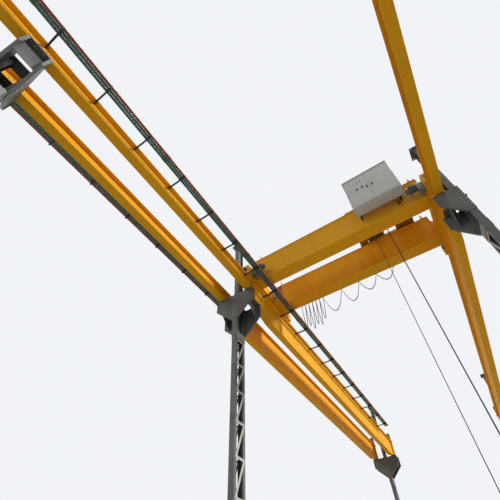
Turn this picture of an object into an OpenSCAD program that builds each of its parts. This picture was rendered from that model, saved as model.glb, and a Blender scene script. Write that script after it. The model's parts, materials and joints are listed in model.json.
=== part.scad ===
/* [Bay] */
// Distance between the two crane rails, centre to centre
span = 6200; // [5600:100:7500]
// Distance between column lines in the near bays
bay = 8000; // [6500:100:9000]
// Height of the rail head above the floor
rail_top = 10670; // [9000:10:12000]
// Height of the tops of the upper shafts above the floor
shaft_top = 13000; // [12800:50:14000]

/* [Runway beams] */
// Height of the crane rail section
rail_h = 70; // [60:1:90]
// Width of a near beam's flanges and of every top flange
beam_w = 240; // [200:10:300]
// Depth of the near beams
beam_d = 480; // [400:10:600]
// Thickness of the beam flanges
flange_t = 20; // [14:1:26]
// Thickness of the beam webs
web_t = 12; // [8:1:16]
// Width of the deep beams' bottom flange
deep_w = 220; // [200:10:400]
// Depth of the deep beams over their seats
deep_end_d = 940; // [820:10:1000]
// Depth of the deep beams between the sloped ends
deep_mid_d = 1150; // [1050:10:1300]
// Length of the slope from the seat depth to the full depth
deep_slope = 800; // [500:50:1200]
// Gap between two beam ends that meet over a column
beam_gap = 10; // [6:1:20]
// Distance between the two beam lines on the centre columns
twin_gap = 1060; // [950:10:1250]

/* [Columns] */
// Width of a column chord across the bay
chord_w = 160; // [140:10:240]
// Depth of one chord channel
chord_d = 90; // [60:5:110]
// Depth of a column along the runway
column_d = 460; // [420:10:640]
// Height of one panel of the lacing, a level bar and a sloped one
lace_pitch = 780; // [600:20:900]
// Width of the lacing bars
lace_w = 65; // [40:5:80]
// Thickness of the lacing bars
lace_t = 10; // [6:1:14]
// Distance from the side columns' centre to their rail
side_offset = 340; // [320:5:400]
// Thickness of the base plates
base_t = 30; // [20:1:40]

/* [Brackets] */
// Reach of a centre bracket beyond its beam's flange
bracket_past = 50; // [30:5:100]
// Height of a bracket's upright edge
bracket_edge = 500; // [400:10:700]
// Height of a whole bracket plate
bracket_h = 1120; // [1000:20:1400]
// Reach of a side bracket beyond its rail
side_reach = 190; // [160:5:240]
// Thickness of the bracket plates
gusset_t = 12; // [8:1:16]
// Width of the flange along a bracket's edge
edge_w = 60; // [40:5:80]

/* [Conductors] */
// Distance between two conductor arms
arm_pitch = 1260; // [1000:20:1600]
// Distance from the flange edge to the first bar
bar_first = 320; // [280:10:360]
// Distance between two conductor bars
bar_pitch = 75; // [65:5:90]

/* [Bridge] */
// Where the bridge stands along the runway, from the first column line
bridge_y = 17155; // [8000:5:22000]
// Distance between the girders, centre to centre
gauge = 1600; // [1500:20:1800]
// Depth of a girder
girder_d = 1140; // [900:20:1200]
// Width of a girder's top and bottom plates
girder_w = 450; // [400:10:500]
// Distance from the rail head up to the girders' undersides
girder_lift = 50; // [50:5:80]
// Width of an end carriage
carriage_w = 300; // [260:10:320]
// Depth of an end carriage
carriage_h = 400; // [360:10:440]
// Length of an end carriage
carriage_l = 3100; // [3000:50:3400]
// Distance from an end carriage's end to the nearest axle
wheel_back = 300; // [280:10:400]
// Diameter of a bridge wheel's tread
wheel_d = 315; // [280:5:340]
// Width of the control panel
panel_w = 1500; // [1200:50:1600]
// Height of the control panel
panel_h = 1700; // [1000:50:1800]
// Depth of the control panel
panel_d = 350; // [250:10:360]

/* [Crab] */
// Distance from the right crane rail to the middle of the crab
crab_back = 1500; // [1300:10:3100]
// Distance between the crab's wheels along the girders
crab_base = 1400; // [1200:10:1500]
// Diameter of a crab wheel's tread
crab_wheel_d = 200; // [190:5:210]
// Height of the crab rails
crab_rail = 40; // [30:5:50]
// Radius of the hoist drum
drum_r = 180; // [160:5:200]
// Length of the hoist drum
drum_l = 900; // [800:20:940]
// Diameter of the hoist rope
rope_d = 18; // [14:1:22]
// Distance from the hook's centre line to a rope fall
fall_x = 225; // [220:5:235]
// Distance from the middle to a rope fall along the runway
fall_y = 90; // [80:2:100]
// Height of the hook block's sheave axle above the floor
block_z = 2300; // [2000:50:4000]

/* [Hidden] */
$fn = 48;

// Column lines along the runway: two near bays and one bay of double length
col_y = [0, bay, 2 * bay, 4 * bay];
deep_from = 2;
left_x = -span / 2;
right_x = span / 2;
outer_x = left_x - twin_gap;
center_x = left_x - twin_gap / 2;
side_x = right_x + side_offset;

// Levels
beam_top = rail_top - rail_h;
seat_t = 20;
near_seat = beam_top - beam_d;
deep_seat = beam_top - deep_end_d;
overhang = 270;
joint_back = 35;
bracket_half = (twin_gap + beam_w) / 2 + bracket_past;
shaft_lines = [0, 2, 3];
head_t = 20;

// Column and lacing details
chord_web = 10;
chord_flange = 12;
batten_h = 300;
batten_t = 10;
base_l = 900;
base_w = 500;
base_hole_r = 17;
base_hole_x = 180;
base_hole_y = 370;
cap_l = 460;
cap_w = 360;
cap_t = 20;
cap_hole_r = 13;
cap_hole_x = 130;
cap_hole_y = 180;
shaft_d = 300;
shaft_flange = 14;
shaft_web = 10;
edge_t = 10;
seat_w = 300;
rib_t = 16;
rib_h = 600;
stiffener_t = 12;

// Conductor details
arm_first = 1670;
arm_size = 40;
bar_w = 40;
bar_h = 44;
insulator_w = 48;
insulator_h = 20;
bar_end = 450;
arm_count = floor((col_y[3] - 2 * arm_first) / arm_pitch);
arm_last = arm_first + arm_count * arm_pitch;
arm_tip = bar_first + 2 * bar_pitch + 30;

// Bridge levels and places
girder_bottom = rail_top + girder_lift;
girder_top = girder_bottom + girder_d;
girder_plate = 16;
girder_web = 8;
web_inset = 25;
end_plate = 16;
wheelbase = carriage_l - 2 * wheel_back;
carriage_in = span / 2 - carriage_w / 2;
carriage_web = 10;
carriage_plate = 12;
wheel_gap = 0.3;
axle_z = rail_top + wheel_d / 2 + wheel_gap;
axle_r = 35;
axle_fit = 0.05;
buffer_r = 60;
buffer_l = 90;
crab_rail_half = span / 2 - 300;
crab_rail_top = girder_top + crab_rail;
panel_y = bridge_y - gauge / 2 - girder_w / 2 - 180 - panel_d;
panel_back = 1400;
panel_drop = 740;
panel_x = span / 2 - panel_back;
panel_z = girder_top - panel_drop;
track_y = bridge_y + gauge / 2 + girder_w / 2 + 200;
track_z = girder_bottom + 330;

// Crab place and levels
crab_x = span / 2 - crab_back;
crab_axle_z = crab_rail_top + crab_wheel_d / 2 + wheel_gap;
crab_over = 280;
crab_len = crab_base + 2 * crab_over;
side_w = 130;
side_plate = 12;
side_low = crab_axle_z - 70;
side_high = crab_axle_z + 160;
hook_from_axle = 520;
hook_x = crab_x - crab_base / 2 + hook_from_axle;
drum_x = hook_x - fall_x + drum_r + rope_d / 2 + 1;
drum_z = side_high + 100;
sheave_r = fall_x;
block_half = 150;
saddle_low = -380;
saddle_high = -290;
hook_r = 110;
hook_bar = 35;
hook_drop = 680;
shank_r = 34;
nut_h = 45;

// The whole is centred on the origin
x_low = outer_x - beam_w / 2 - arm_tip;
x_high = side_x + base_w / 2;
mid_x = (x_low + x_high) / 2;
mid_y = (col_y[0] + col_y[3]) / 2;

amber = [0.93, 0.62, 0.10];
slate = [0.30, 0.35, 0.35];
pale = [0.72, 0.73, 0.68];
steel = [0.55, 0.55, 0.56];
dark = [0.16, 0.16, 0.17];
black = [0.06, 0.06, 0.06];
red = [0.62, 0.12, 0.10];

module place() { translate([-mid_x, -mid_y, 0]) children(); }
module block(low, high) { translate(low) cube(high - low); }
module along_y(from, to) { translate([0, to, 0]) rotate([90, 0, 0]) linear_extrude(to - from) children(); }
module along_x(from, to) { translate([from, 0, 0]) rotate([90, 0, 90]) linear_extrude(to - from) children(); }
module rod_y(r, from, to) { translate([0, from, 0]) rotate([-90, 0, 0]) cylinder(r = r, h = to - from); }
module rod_x(r, from, to) { translate([from, 0, 0]) rotate([0, 90, 0]) cylinder(r = r, h = to - from); }
module both_lines() { children(); translate([2 * center_x, 0, 0]) mirror([1, 0, 0]) children(); }

function column_top(i) = i < deep_from ? near_seat - seat_t : deep_seat - seat_t;

// Laced columns
module channel() {
    polygon([[-chord_w / 2, 0], [chord_w / 2, 0], [chord_w / 2, chord_d], [chord_w / 2 - chord_flange, chord_d],
        [chord_w / 2 - chord_flange, chord_web], [-chord_w / 2 + chord_flange, chord_web],
        [-chord_w / 2 + chord_flange, chord_d], [-chord_w / 2, chord_d]]);
}
module column(top) {
    for (side = [0, 1]) mirror([0, side, 0]) translate([0, -column_d / 2, base_t])
        linear_extrude(top - head_t - base_t) channel();
    for (side = [-1, 1], z = [base_t, top - bracket_h - batten_h])
        translate([side * (chord_w + batten_t) / 2, 0, z + batten_h / 2])
            cube([batten_t, column_d, batten_h], center = true);
    translate([0, 0, top - head_t / 2]) cube([chord_w + 100, column_d, head_t], center = true);
}
module center_columns() {
    color(slate) place() for (i = [0:3]) translate([center_x, col_y[i], 0]) column(column_top(i));
}
module side_columns() {
    color(slate) place() for (i = [0:3]) translate([side_x, col_y[i], 0]) column(column_top(i));
}
// A ribbon of even width along a bent line, drawn flat
function bend(points, i, w) = let(
    n = len(points) - 1,
    a = points[max(i, 1)] - points[max(i, 1) - 1],
    b = points[min(i, n - 1) + 1] - points[min(i, n - 1)],
    m = [-a[1], a[0]] / norm(a) + [-b[1], b[0]] / norm(b))
    points[i] + m * w / (m * m);
module ribbon(points, w) {
    n = len(points) - 1;
    polygon(concat([for (i = [0:n]) bend(points, i, w)], [for (i = [n:-1:0]) bend(points, i, -w)]));
}
module lacing(top) {
    low = base_t + batten_h + 60;
    high = top - bracket_h - batten_h - 60;
    panels = floor((high - low) / lace_pitch);
    rise = (high - low) / panels;
    reach = (column_d - chord_d) / 2 - lace_t;
    for (side = [-1, 1]) translate([side * (chord_w + lace_t) / 2 - lace_t / 2, 0, 0]) along_x(0, lace_t)
        ribbon([for (i = [0:panels], end = [reach, -reach]) [end, low + i * rise]], lace_w);
}
module center_lacing() {
    color(pale) place() for (i = [0:3]) translate([center_x, col_y[i], 0]) lacing(column_top(i));
}
module side_lacing() {
    color(pale) place() for (i = [0:3]) translate([side_x, col_y[i], 0]) lacing(column_top(i));
}
module base_plate() {
    difference() {
        translate([-base_w / 2, -base_l / 2, 0]) cube([base_w, base_l, base_t]);
        for (x = [-base_hole_x, base_hole_x], y = [-base_hole_y, base_hole_y])
            translate([x, y, -1]) cylinder(r = base_hole_r, h = base_t + 2);
    }
}
module base_plates() {
    color(slate) place() for (i = [0:3], x = [center_x, side_x]) translate([x, col_y[i], 0]) base_plate();
}
module upper_shaft(bottom) {
    height = shaft_top - cap_t - bottom;
    translate([0, 0, bottom]) for (side = [-1, 1]) translate([-chord_w / 2, side * (shaft_d - shaft_flange) / 2 - shaft_flange / 2, 0])
        cube([chord_w, shaft_flange, height]);
    translate([-shaft_web / 2, -shaft_d / 2, bottom]) cube([shaft_web, shaft_d, height]);
    difference() {
        translate([-cap_w / 2, -cap_l / 2, shaft_top - cap_t]) cube([cap_w, cap_l, cap_t]);
        for (x = [-cap_hole_x, cap_hole_x], y = [-cap_hole_y, cap_hole_y])
            translate([x, y, shaft_top - cap_t - 1]) cylinder(r = cap_hole_r, h = cap_t + 2);
    }
}
module center_upper_shafts() {
    color(slate) place() for (i = shaft_lines) translate([center_x, col_y[i], 0]) upper_shaft(column_top(i));
}
module side_upper_shafts() {
    color(slate) place() for (i = shaft_lines) translate([side_x, col_y[i], 0]) upper_shaft(column_top(i));
}

// Bracket plates with a flange along each free edge
module edge_flange(half, neck) {
    slope = atan2(bracket_h - bracket_edge, half - neck);
    turn = edge_t * tan((90 - slope) / 2);
    polygon([[half, 0], [half + edge_t, 0], [half + edge_t, -bracket_edge - turn],
        [neck + edge_t * sin(slope), -bracket_h - edge_t * cos(slope)], [neck, -bracket_h],
        [half, -bracket_edge]]);
}
module center_gusset() {
    neck = chord_w / 2 + lace_t;
    along_y(-gusset_t / 2, gusset_t / 2) polygon([[-bracket_half, 0], [bracket_half, 0],
        [bracket_half, -bracket_edge], [neck, -bracket_h], [-neck, -bracket_h], [-bracket_half, -bracket_edge]]);
    for (side = [0, 1]) mirror([side, 0, 0]) along_y(-edge_w / 2, edge_w / 2) edge_flange(bracket_half, neck);
}
module side_gusset() {
    reach = side_offset + side_reach;
    neck = chord_w / 2 + lace_t;
    along_y(-gusset_t / 2, gusset_t / 2) polygon([[-reach, 0], [neck, 0], [neck, -bracket_h],
        [-neck, -bracket_h], [-reach, -bracket_edge]]);
    mirror([1, 0, 0]) along_y(-edge_w / 2, edge_w / 2) edge_flange(reach, neck);
}
module seat(x, near_top, far_top) {
    half = column_d / 2 + gusset_t;
    split = near_top == far_top ? half : -joint_back - beam_gap / 2;
    translate([x - rib_t / 2, 0, 0]) along_x(0, rib_t) polygon(concat(
        [[-column_d / 2, near_top - seat_t - rib_h], [-column_d / 2, near_top - seat_t]],
        near_top == far_top ? [] : [[split, near_top - seat_t], [split, far_top - seat_t]],
        [[column_d / 2, far_top - seat_t], [column_d / 2, far_top - seat_t - rib_h]]));
    block([x - seat_w / 2, -half, near_top - seat_t], [x + seat_w / 2, split, near_top]);
    if (near_top != far_top)
        block([x - seat_w / 2, split + beam_gap, far_top - seat_t], [x + seat_w / 2, half, far_top]);
}
function near_top(i) = i <= deep_from ? near_seat : deep_seat;
function far_top(i) = i < deep_from ? near_seat : deep_seat;
module center_brackets() {
    color(slate) place() for (i = [0:3]) translate([center_x, col_y[i], 0]) {
        translate([0, -(column_d + gusset_t) / 2, near_top(i) - seat_t]) center_gusset();
        translate([0, (column_d + gusset_t) / 2, far_top(i) - seat_t]) center_gusset();
        for (side = [-1, 1]) seat(side * twin_gap / 2, near_top(i), far_top(i));
    }
}
module side_brackets() {
    color(slate) place() for (i = [0:3]) translate([side_x, col_y[i], 0]) {
        translate([0, -(column_d + gusset_t) / 2, near_top(i) - seat_t]) side_gusset();
        translate([0, (column_d + gusset_t) / 2, far_top(i) - seat_t]) side_gusset();
        seat(-side_offset, near_top(i), far_top(i));
    }
}

// Runway beams, hung from the level of their top flange
module i_section() {
    h = beam_w / 2;
    w = web_t / 2;
    f = flange_t;
    polygon([[-h, 0], [h, 0], [h, -f], [w, -f], [w, f - beam_d], [h, f - beam_d], [h, -beam_d],
        [-h, -beam_d], [-h, f - beam_d], [-w, f - beam_d], [-w, -f], [-h, -f]]);
}
module near_beams(x) {
    translate([x, 0, beam_top]) {
        along_y(col_y[0] - overhang, col_y[1] - beam_gap / 2) i_section();
        along_y(col_y[1] + beam_gap / 2, col_y[2] - joint_back - beam_gap / 2) i_section();
    }
}
deep_start = col_y[2] - joint_back + beam_gap / 2;
deep_finish = col_y[3] + overhang;
deep_seat_l = column_d / 2 + gusset_t + 40;
function belly(drop) = [[deep_start, -deep_end_d + drop], [col_y[2] + deep_seat_l, -deep_end_d + drop],
    [col_y[2] + deep_seat_l + deep_slope, -deep_mid_d + drop],
    [col_y[3] - deep_seat_l - deep_slope, -deep_mid_d + drop],
    [col_y[3] - deep_seat_l, -deep_end_d + drop], [deep_finish, -deep_end_d + drop]];
module deep_beam(x) {
    low = belly(0);
    high = belly(flange_t);
    translate([x, 0, beam_top]) {
        block([-beam_w / 2, deep_start, -flange_t], [beam_w / 2, deep_finish, 0]);
        along_x(-web_t / 2, web_t / 2) polygon(concat(high, [[deep_finish, -flange_t], [deep_start, -flange_t]]));
        along_x(-deep_w / 2, deep_w / 2) polygon(concat(low, [for (i = [5:-1:0]) high[i]]));
        for (y = [deep_start + 60, col_y[3]], side = [-1, 1])
            block([side > 0 ? web_t / 2 : -beam_w / 2 + 8, y, flange_t - deep_end_d],
                [side > 0 ? beam_w / 2 - 8 : -web_t / 2, y + stiffener_t, -flange_t]);
    }
}
module left_near_beams() { color(amber) place() near_beams(left_x); }
module outer_near_beams() { color(amber) place() near_beams(outer_x); }
module right_near_beams() { color(amber) place() near_beams(right_x); }
module left_deep_beam() { color(amber) place() deep_beam(left_x); }
module outer_deep_beam() { color(amber) place() deep_beam(outer_x); }
module right_deep_beam() { color(amber) place() deep_beam(right_x); }

// Rails and the stops at their ends
rail_end = 20;
rail_foot = 50;
rail_head = 27;
module rail_section() {
    half = [[rail_foot, 0], [rail_foot, 9], [9, 18], [9, rail_h - 24], [rail_head, rail_h - 18], [rail_head, rail_h]];
    polygon(concat(half, [for (i = [len(half) - 1:-1:0]) [-half[i][0], half[i][1]]]));
}
module crane_rail(x) {
    translate([x, 0, beam_top]) along_y(col_y[0] - rail_end, col_y[3] + rail_end) rail_section();
}
module left_rail() { color(steel) place() crane_rail(left_x); }
module outer_rail() { color(steel) place() crane_rail(outer_x); }
module right_rail() { color(steel) place() crane_rail(right_x); }
stop_h = 480;
stop_l = 220;
stop_plate = 16;
module end_stop() {
    block([-100, 0, 0], [100, stop_l, stop_plate]);
    block([-100, 0, stop_plate], [100, stop_plate, stop_h]);
    for (x = [-76, 60]) translate([x, 0, 0]) along_x(0, stop_plate)
        polygon([[stop_plate, stop_plate], [stop_l, stop_plate], [stop_plate + 40, stop_h], [stop_plate, stop_h]]);
}
module end_stops() {
    color(slate) place() for (x = [left_x, outer_x, right_x]) {
        translate([x, col_y[3] + rail_end + 10, beam_top]) end_stop();
        translate([x, col_y[0] - rail_end - 10, beam_top]) mirror([0, 1, 0]) end_stop();
    }
}

// Conductor bars on arms under the top flanges
bar_level = beam_top - flange_t + insulator_h;
module conductor_arm() {
    block([web_t / 2, -arm_size / 2, beam_top - flange_t - arm_size], [beam_w / 2 + arm_tip, arm_size / 2, beam_top - flange_t]);
    for (k = [0:2]) block([beam_w / 2 + bar_first + k * bar_pitch - insulator_w / 2, -arm_size / 2, beam_top - flange_t],
        [beam_w / 2 + bar_first + k * bar_pitch + insulator_w / 2, arm_size / 2, bar_level]);
}
module conductor_arms() {
    color(dark) place() both_lines() for (k = [0:arm_count])
        translate([left_x, arm_first + k * arm_pitch, 0]) conductor_arm();
}
module conductor_bars() {
    color(pale) place() both_lines() for (k = [0:2])
        translate([left_x + beam_w / 2 + bar_first + k * bar_pitch, 0, 0])
            block([-bar_w / 2, arm_first - bar_end, bar_level], [bar_w / 2, arm_last + bar_end, bar_level + bar_h]);
}

// Bridge girders
module girder_section() {
    w = girder_w / 2;
    web = w - web_inset;
    for (z = [0, girder_d - girder_plate]) translate([-w, z]) square([girder_w, girder_plate]);
    for (x = [-web, web - girder_web]) translate([x, 0]) square([girder_web, girder_d]);
}
module girder(y) {
    translate([0, y, girder_bottom]) {
        along_x(end_plate - carriage_in, carriage_in - end_plate) girder_section();
        for (x = [-carriage_in, carriage_in - end_plate]) block([x, -girder_w / 2, 0], [x + end_plate, girder_w / 2, girder_d]);
    }
}
module near_girder() { color(amber) place() girder(bridge_y - gauge / 2); }
module rear_girder() { color(amber) place() girder(bridge_y + gauge / 2); }

// End carriages, their wheels, buffers and drives
module end_carriage(x) {
    half = carriage_w / 2;
    translate([x, bridge_y, girder_bottom]) difference() {
        block([-half, -carriage_l / 2, 0], [half, carriage_l / 2, carriage_h]);
        block([-half + carriage_web, -carriage_l / 2 + carriage_plate, carriage_plate],
            [half - carriage_web, carriage_l / 2 - carriage_plate, carriage_h - carriage_plate]);
        for (side = [-1, 1]) translate([0, side * wheelbase / 2, 0]) {
            block([-70, -wheel_d / 2 - 30, -1], [70, wheel_d / 2 + 30, carriage_plate + 1]);
            translate([0, 0, axle_z - girder_bottom]) rod_x(axle_r, -half - 1, half + 1);
        }
    }
}
module left_end_carriage() { color(amber) place() end_carriage(left_x); }
module right_end_carriage() { color(amber) place() end_carriage(right_x); }
module flanged_wheel(r, tread, flange, lip) {
    rotate([0, 90, 0]) rotate_extrude() polygon([[0, -tread - flange], [r + lip, -tread - flange],
        [r + lip, -tread - 6], [r, -tread], [r, tread], [r + lip, tread + 6], [r + lip, tread + flange], [0, tread + flange]]);
}
module bridge_wheels() {
    color(steel) place() for (x = [left_x, right_x], side = [-1, 1])
        translate([x, bridge_y + side * wheelbase / 2, axle_z]) {
            flanged_wheel(wheel_d / 2, 33, 22, 25);
            rod_x(axle_r - axle_fit, -carriage_w / 2 - 20, carriage_w / 2 + 20);
        }
}
module bridge_buffers() {
    color(black) place() for (x = [left_x, right_x], side = [0, 1])
        translate([x, bridge_y, girder_bottom + carriage_h / 2]) mirror([0, side, 0]) {
            rod_y(buffer_r + 10, carriage_l / 2, carriage_l / 2 + 12);
            rod_y(buffer_r, carriage_l / 2 + 12, carriage_l / 2 + buffer_l);
        }
}
drive_w = 140;
drive_h = 470;
drive_motor_r = 95;
drive_motor_l = 240;
module travel_drive() {
    motor_z = drive_h - 130 - drive_motor_r - 20;
    hull() for (z = [0, motor_z]) translate([0, 0, z]) rod_x(115, 0, drive_w);
    translate([0, 0, motor_z]) {
        rod_x(drive_motor_r, drive_w, drive_w + drive_motor_l);
        rod_x(drive_motor_r + 8, drive_w + drive_motor_l, drive_w + drive_motor_l + 60);
        block([drive_w + 60, -60, drive_motor_r - 20], [drive_w + 180, 60, drive_motor_r + 55]);
    }
}
module travel_drives() {
    color(steel) place() {
        translate([-carriage_in + 20, bridge_y - wheelbase / 2, axle_z]) travel_drive();
        translate([carriage_in - 20, bridge_y - wheelbase / 2, axle_z]) mirror([1, 0, 0]) travel_drive();
    }
}
stop_w = 150;
crab_stop_h = 420;
module crab_rails() {
    color(steel) place() for (side = [-1, 1]) translate([0, bridge_y + side * gauge / 2, girder_top]) {
        block([-crab_rail_half, -crab_rail / 2, 0], [crab_rail_half, crab_rail / 2, crab_rail]);
        for (end = [0, 1]) mirror([end, 0, 0]) {
            block([crab_rail_half, -stop_w / 2, 0], [crab_rail_half + stop_plate, stop_w / 2, crab_stop_h]);
            translate([0, -stop_plate / 2, 0]) along_y(0, stop_plate) polygon([[crab_rail_half + stop_plate, 0],
                [crab_rail_half + 120, 0], [crab_rail_half + stop_plate + 30, crab_stop_h], [crab_rail_half + stop_plate, crab_stop_h]]);
        }
    }
}

// Control panel on its frame in front of the near girder
door_gap = 8;
door_t = 12;
panel_wall = 4;
module control_panel() {
    color(pale) place() translate([panel_x - panel_w / 2, panel_y, panel_z]) {
        difference() {
            block([0, door_t, 0], [panel_w, panel_d, panel_h]);
            block([panel_wall, door_t + panel_wall, panel_wall], [panel_w - panel_wall, panel_d - panel_wall, panel_h - panel_wall]);
        }
        for (k = [0, 1]) block([door_gap + k * panel_w / 2, 0, 25], [panel_w / 2 - door_gap + k * (panel_w / 2 - 2), door_t, panel_h - 25]);
        block([-12, -15, panel_h], [panel_w + 12, panel_d, panel_h + 15]);
    }
}
frame_size = 60;
module panel_frame() {
    web_y = bridge_y - gauge / 2 - girder_w / 2 + web_inset;
    color(dark) place() for (x = [panel_x - panel_w / 2 + 100, panel_x + panel_w / 2 - 160]) {
        block([x, panel_y + panel_d, panel_z], [x + frame_size, panel_y + panel_d + frame_size, panel_z + panel_h]);
        for (z = [panel_z + 20, panel_z + 250])
            block([x, panel_y + panel_d + frame_size, z], [x + frame_size, web_y, z + frame_size]);
    }
}

// Cable trolleys on a track behind the rear girder
track_size = 50;
track_half = span / 2 - 350;
cable_r = 14;
hanger_h = 90;
bunch_back = 470;
bunch_pitch = 150;
bunch_count = 6;
tow_back = 280;
// Four trolleys between the bunch and the crab, by their share of the way
stretched = [750, 1430, 2080, 2700];
bunch_end = bunch_back - track_half + bunch_count * bunch_pitch;
tow_x = crab_x - tow_back;
hangers = concat([for (k = [0:bunch_count]) bunch_end + (k - bunch_count) * bunch_pitch],
    [for (s = stretched) bunch_end + s / stretched[3] * (tow_x - bunch_end)]);
drops = [1250, 1120, 1330, 1180, 1280, 1060, 900, 800, 600, 480];
cable_top = track_z - hanger_h - cable_r;
module festoon_track() {
    color(dark) place() {
        block([-track_half, track_y - track_size / 2, track_z], [track_half, track_y + track_size / 2, track_z + track_size]);
        for (x = [-track_half + 100, 0, track_half - 160])
            block([x, bridge_y + gauge / 2 + girder_w / 2 - web_inset, track_z + track_size],
                [x + frame_size, track_y + track_size / 2, track_z + track_size + 40]);
    }
}
module festoon_trolleys() {
    color(dark) place() for (x = hangers) translate([x, track_y, 0]) {
        block([-35, -22, track_z - hanger_h + 10], [35, 22, track_z]);
        block([-22, -22, cable_top + cable_r], [22, 22, track_z - hanger_h + 10]);
    }
}
loop_points = 7;
function route() = concat([for (k = [0:len(hangers) - 2], j = [0:loop_points - 1]) let(
        t = j / loop_points,
        flat = 4 * t * (1 - t),
        x = hangers[k] + t * (hangers[k + 1] - hangers[k]))
        [x, cable_top - drops[k] * flat]], [[hangers[len(hangers) - 1], cable_top]]);
module swept_cable(points, r, sides) {
    n = len(points);
    rings = [for (i = [0:n - 1]) let(
        a = points[max(i - 1, 0)],
        b = points[min(i + 1, n - 1)],
        dir = (b - a) / norm(b - a),
        side = [-dir[1], dir[0]])
        for (s = [0:sides - 1]) let(u = 360 * s / sides)
            [points[i][0] + r * cos(u) * side[0], r * sin(u), points[i][1] + r * cos(u) * side[1]]];
    faces = concat([for (i = [0:n - 2], s = [0:sides - 1]) let(
            p = i * sides + s,
            q = i * sides + (s + 1) % sides)
            [p, q, q + sides, p + sides]],
        [[for (s = [sides - 1:-1:0]) s]], [[for (s = [0:sides - 1]) (n - 1) * sides + s]]);
    polyhedron(points = rings, faces = faces);
}
module festoon_cable() {
    color(black) place() translate([0, track_y, 0]) swept_cable(route(), cable_r, 8);
}

// Current collector over the conductor bars, hung from the end carriage's side
shoe_gap = 5;
shoe_l = 240;
collector_arm_z = girder_bottom + carriage_h - 90;
module current_collector() {
    shoe_low = bar_level + bar_h + shoe_gap;
    shoe_top = shoe_low + 24;
    first = left_x + beam_w / 2 + bar_first;
    color(red) place() translate([0, bridge_y, 0]) {
        block([-carriage_in, -25, collector_arm_z], [first + 2 * bar_pitch + 30, 25, collector_arm_z + 50]);
        for (k = [0:2]) translate([first + k * bar_pitch, 0, 0]) {
            block([-18, -shoe_l / 2, shoe_low], [18, shoe_l / 2, shoe_top]);
            for (side = [-1, 1]) translate([-12, 0, 0]) along_x(0, 24) polygon([[side * 15, collector_arm_z],
                [side * 40, collector_arm_z], [side * (shoe_l / 2 - 20), shoe_top], [side * (shoe_l / 2 - 50), shoe_top]]);
        }
    }
}

// Crab
module crab_side() {
    half = side_w / 2;
    difference() {
        block([-crab_len / 2, -half, side_low], [crab_len / 2, half, side_high]);
        block([-crab_len / 2 + side_plate, -half + side_plate, side_low - 1],
            [crab_len / 2 - side_plate, half - side_plate, side_high - side_plate]);
        for (side = [-1, 1]) translate([side * crab_base / 2, 0, crab_axle_z]) rod_y(25, -half - 1, half + 1);
    }
}
cross_w = 120;
axle_room = 60;
cross_x = [cross_w / 2 + axle_room - crab_base / 2, crab_base / 2 - cross_w / 2 - axle_room - 30];
deck_t = 10;
deck_drop = 100;
deck_l = [300, 625];
tow_size = 40;
tow_gap = 8;
module tow_arm() {
    outer = (gauge + side_w) / 2;
    far = track_y - bridge_y + 22 + tow_gap;
    x = -tow_back;
    block([x - tow_size / 2, outer, side_low + 60], [x + tow_size / 2, far + track_size, side_low + 60 + tow_size]);
    block([x - tow_size / 2, far + track_size - tow_size, track_z - hanger_h], [x + tow_size / 2, far + track_size, side_low + 60]);
    block([x - tow_size / 2, far, track_z - hanger_h], [x + tow_size / 2, far + track_size - tow_size, track_z - hanger_h + 40]);
}
module crab_frame() {
    inner = gauge / 2 - side_w / 2;
    color(amber) place() translate([crab_x, bridge_y, 0]) {
        for (side = [-1, 1]) translate([0, side * gauge / 2, 0]) crab_side();
        tow_arm();
        for (end = [0, 1]) mirror([1 - end, 0, 0])
            block([crab_len / 2 - deck_l[end], -inner, side_high - deck_drop],
                [crab_len / 2 - side_plate, inner, side_high - deck_drop + deck_t]);
        for (x = cross_x) block([x - cross_w / 2, -inner, side_high - 160], [x + cross_w / 2, inner, side_high]);
        translate([drum_x - crab_x, 0, 0]) difference() {
            block([-100, -inner, side_high - 100], [100, -inner + 90, drum_z + 90]);
            translate([0, 0, drum_z]) rod_y(40, -inner - 1, -inner + 91);
        }
    }
}
module crab_wheels() {
    color(steel) place() for (x = [-1, 1], side = [-1, 1])
        translate([crab_x + x * crab_base / 2, bridge_y + side * gauge / 2, crab_axle_z]) rotate([0, 0, 90]) {
            flanged_wheel(crab_wheel_d / 2, 26, 14, 15);
            rod_x(25 - axle_fit, -side_w / 2 - 12, side_w / 2 + 12);
        }
}
groove_pitch = 30;
groove_count = 12;
groove_d = 8;
drum_flange_r = drum_r + 35;
module drum_half() {
    start = 40;
    grooves = [for (k = [0:groove_count - 1]) each [[drum_r, start + k * groove_pitch],
        [drum_r - groove_d, start + (k + 0.35) * groove_pitch],
        [drum_r - groove_d, start + (k + 0.65) * groove_pitch]]];
    rotate([-90, 0, 0]) rotate_extrude() polygon(concat([[0, 0], [drum_r, 0]], grooves,
        [[drum_r, start + groove_count * groove_pitch], [drum_r, drum_l / 2 - 15], [drum_flange_r, drum_l / 2 - 15],
            [drum_flange_r, drum_l / 2], [0, drum_l / 2]]));
}
gear_y = [drum_l / 2 + 40, gauge / 2 - side_w / 2];
module hoist_drum() {
    color(steel) place() translate([drum_x, bridge_y, drum_z]) {
        drum_half();
        mirror([0, 1, 0]) drum_half();
        rod_y(40 - axle_fit, -gauge / 2 + side_w / 2 + 4, gear_y[0]);
    }
}
motor_x = crab_x + cross_x[0] - drum_x;
motor_r = 120;
motor_l = 520;
brake_l = 80;
motor_z = side_high + motor_r + 25;
module hoist_gearbox() {
    color(steel) place() translate([drum_x, bridge_y, 0]) intersection() {
        hull() {
            translate([0, 0, drum_z]) rod_y(170, gear_y[0], gear_y[1]);
            translate([motor_x, 0, motor_z]) rod_y(motor_r + 20, gear_y[0], gear_y[1]);
        }
        block([motor_x - 200, gear_y[0] - 1, side_high], [200, gear_y[1] + 1, drum_z + 200]);
    }
}
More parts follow.
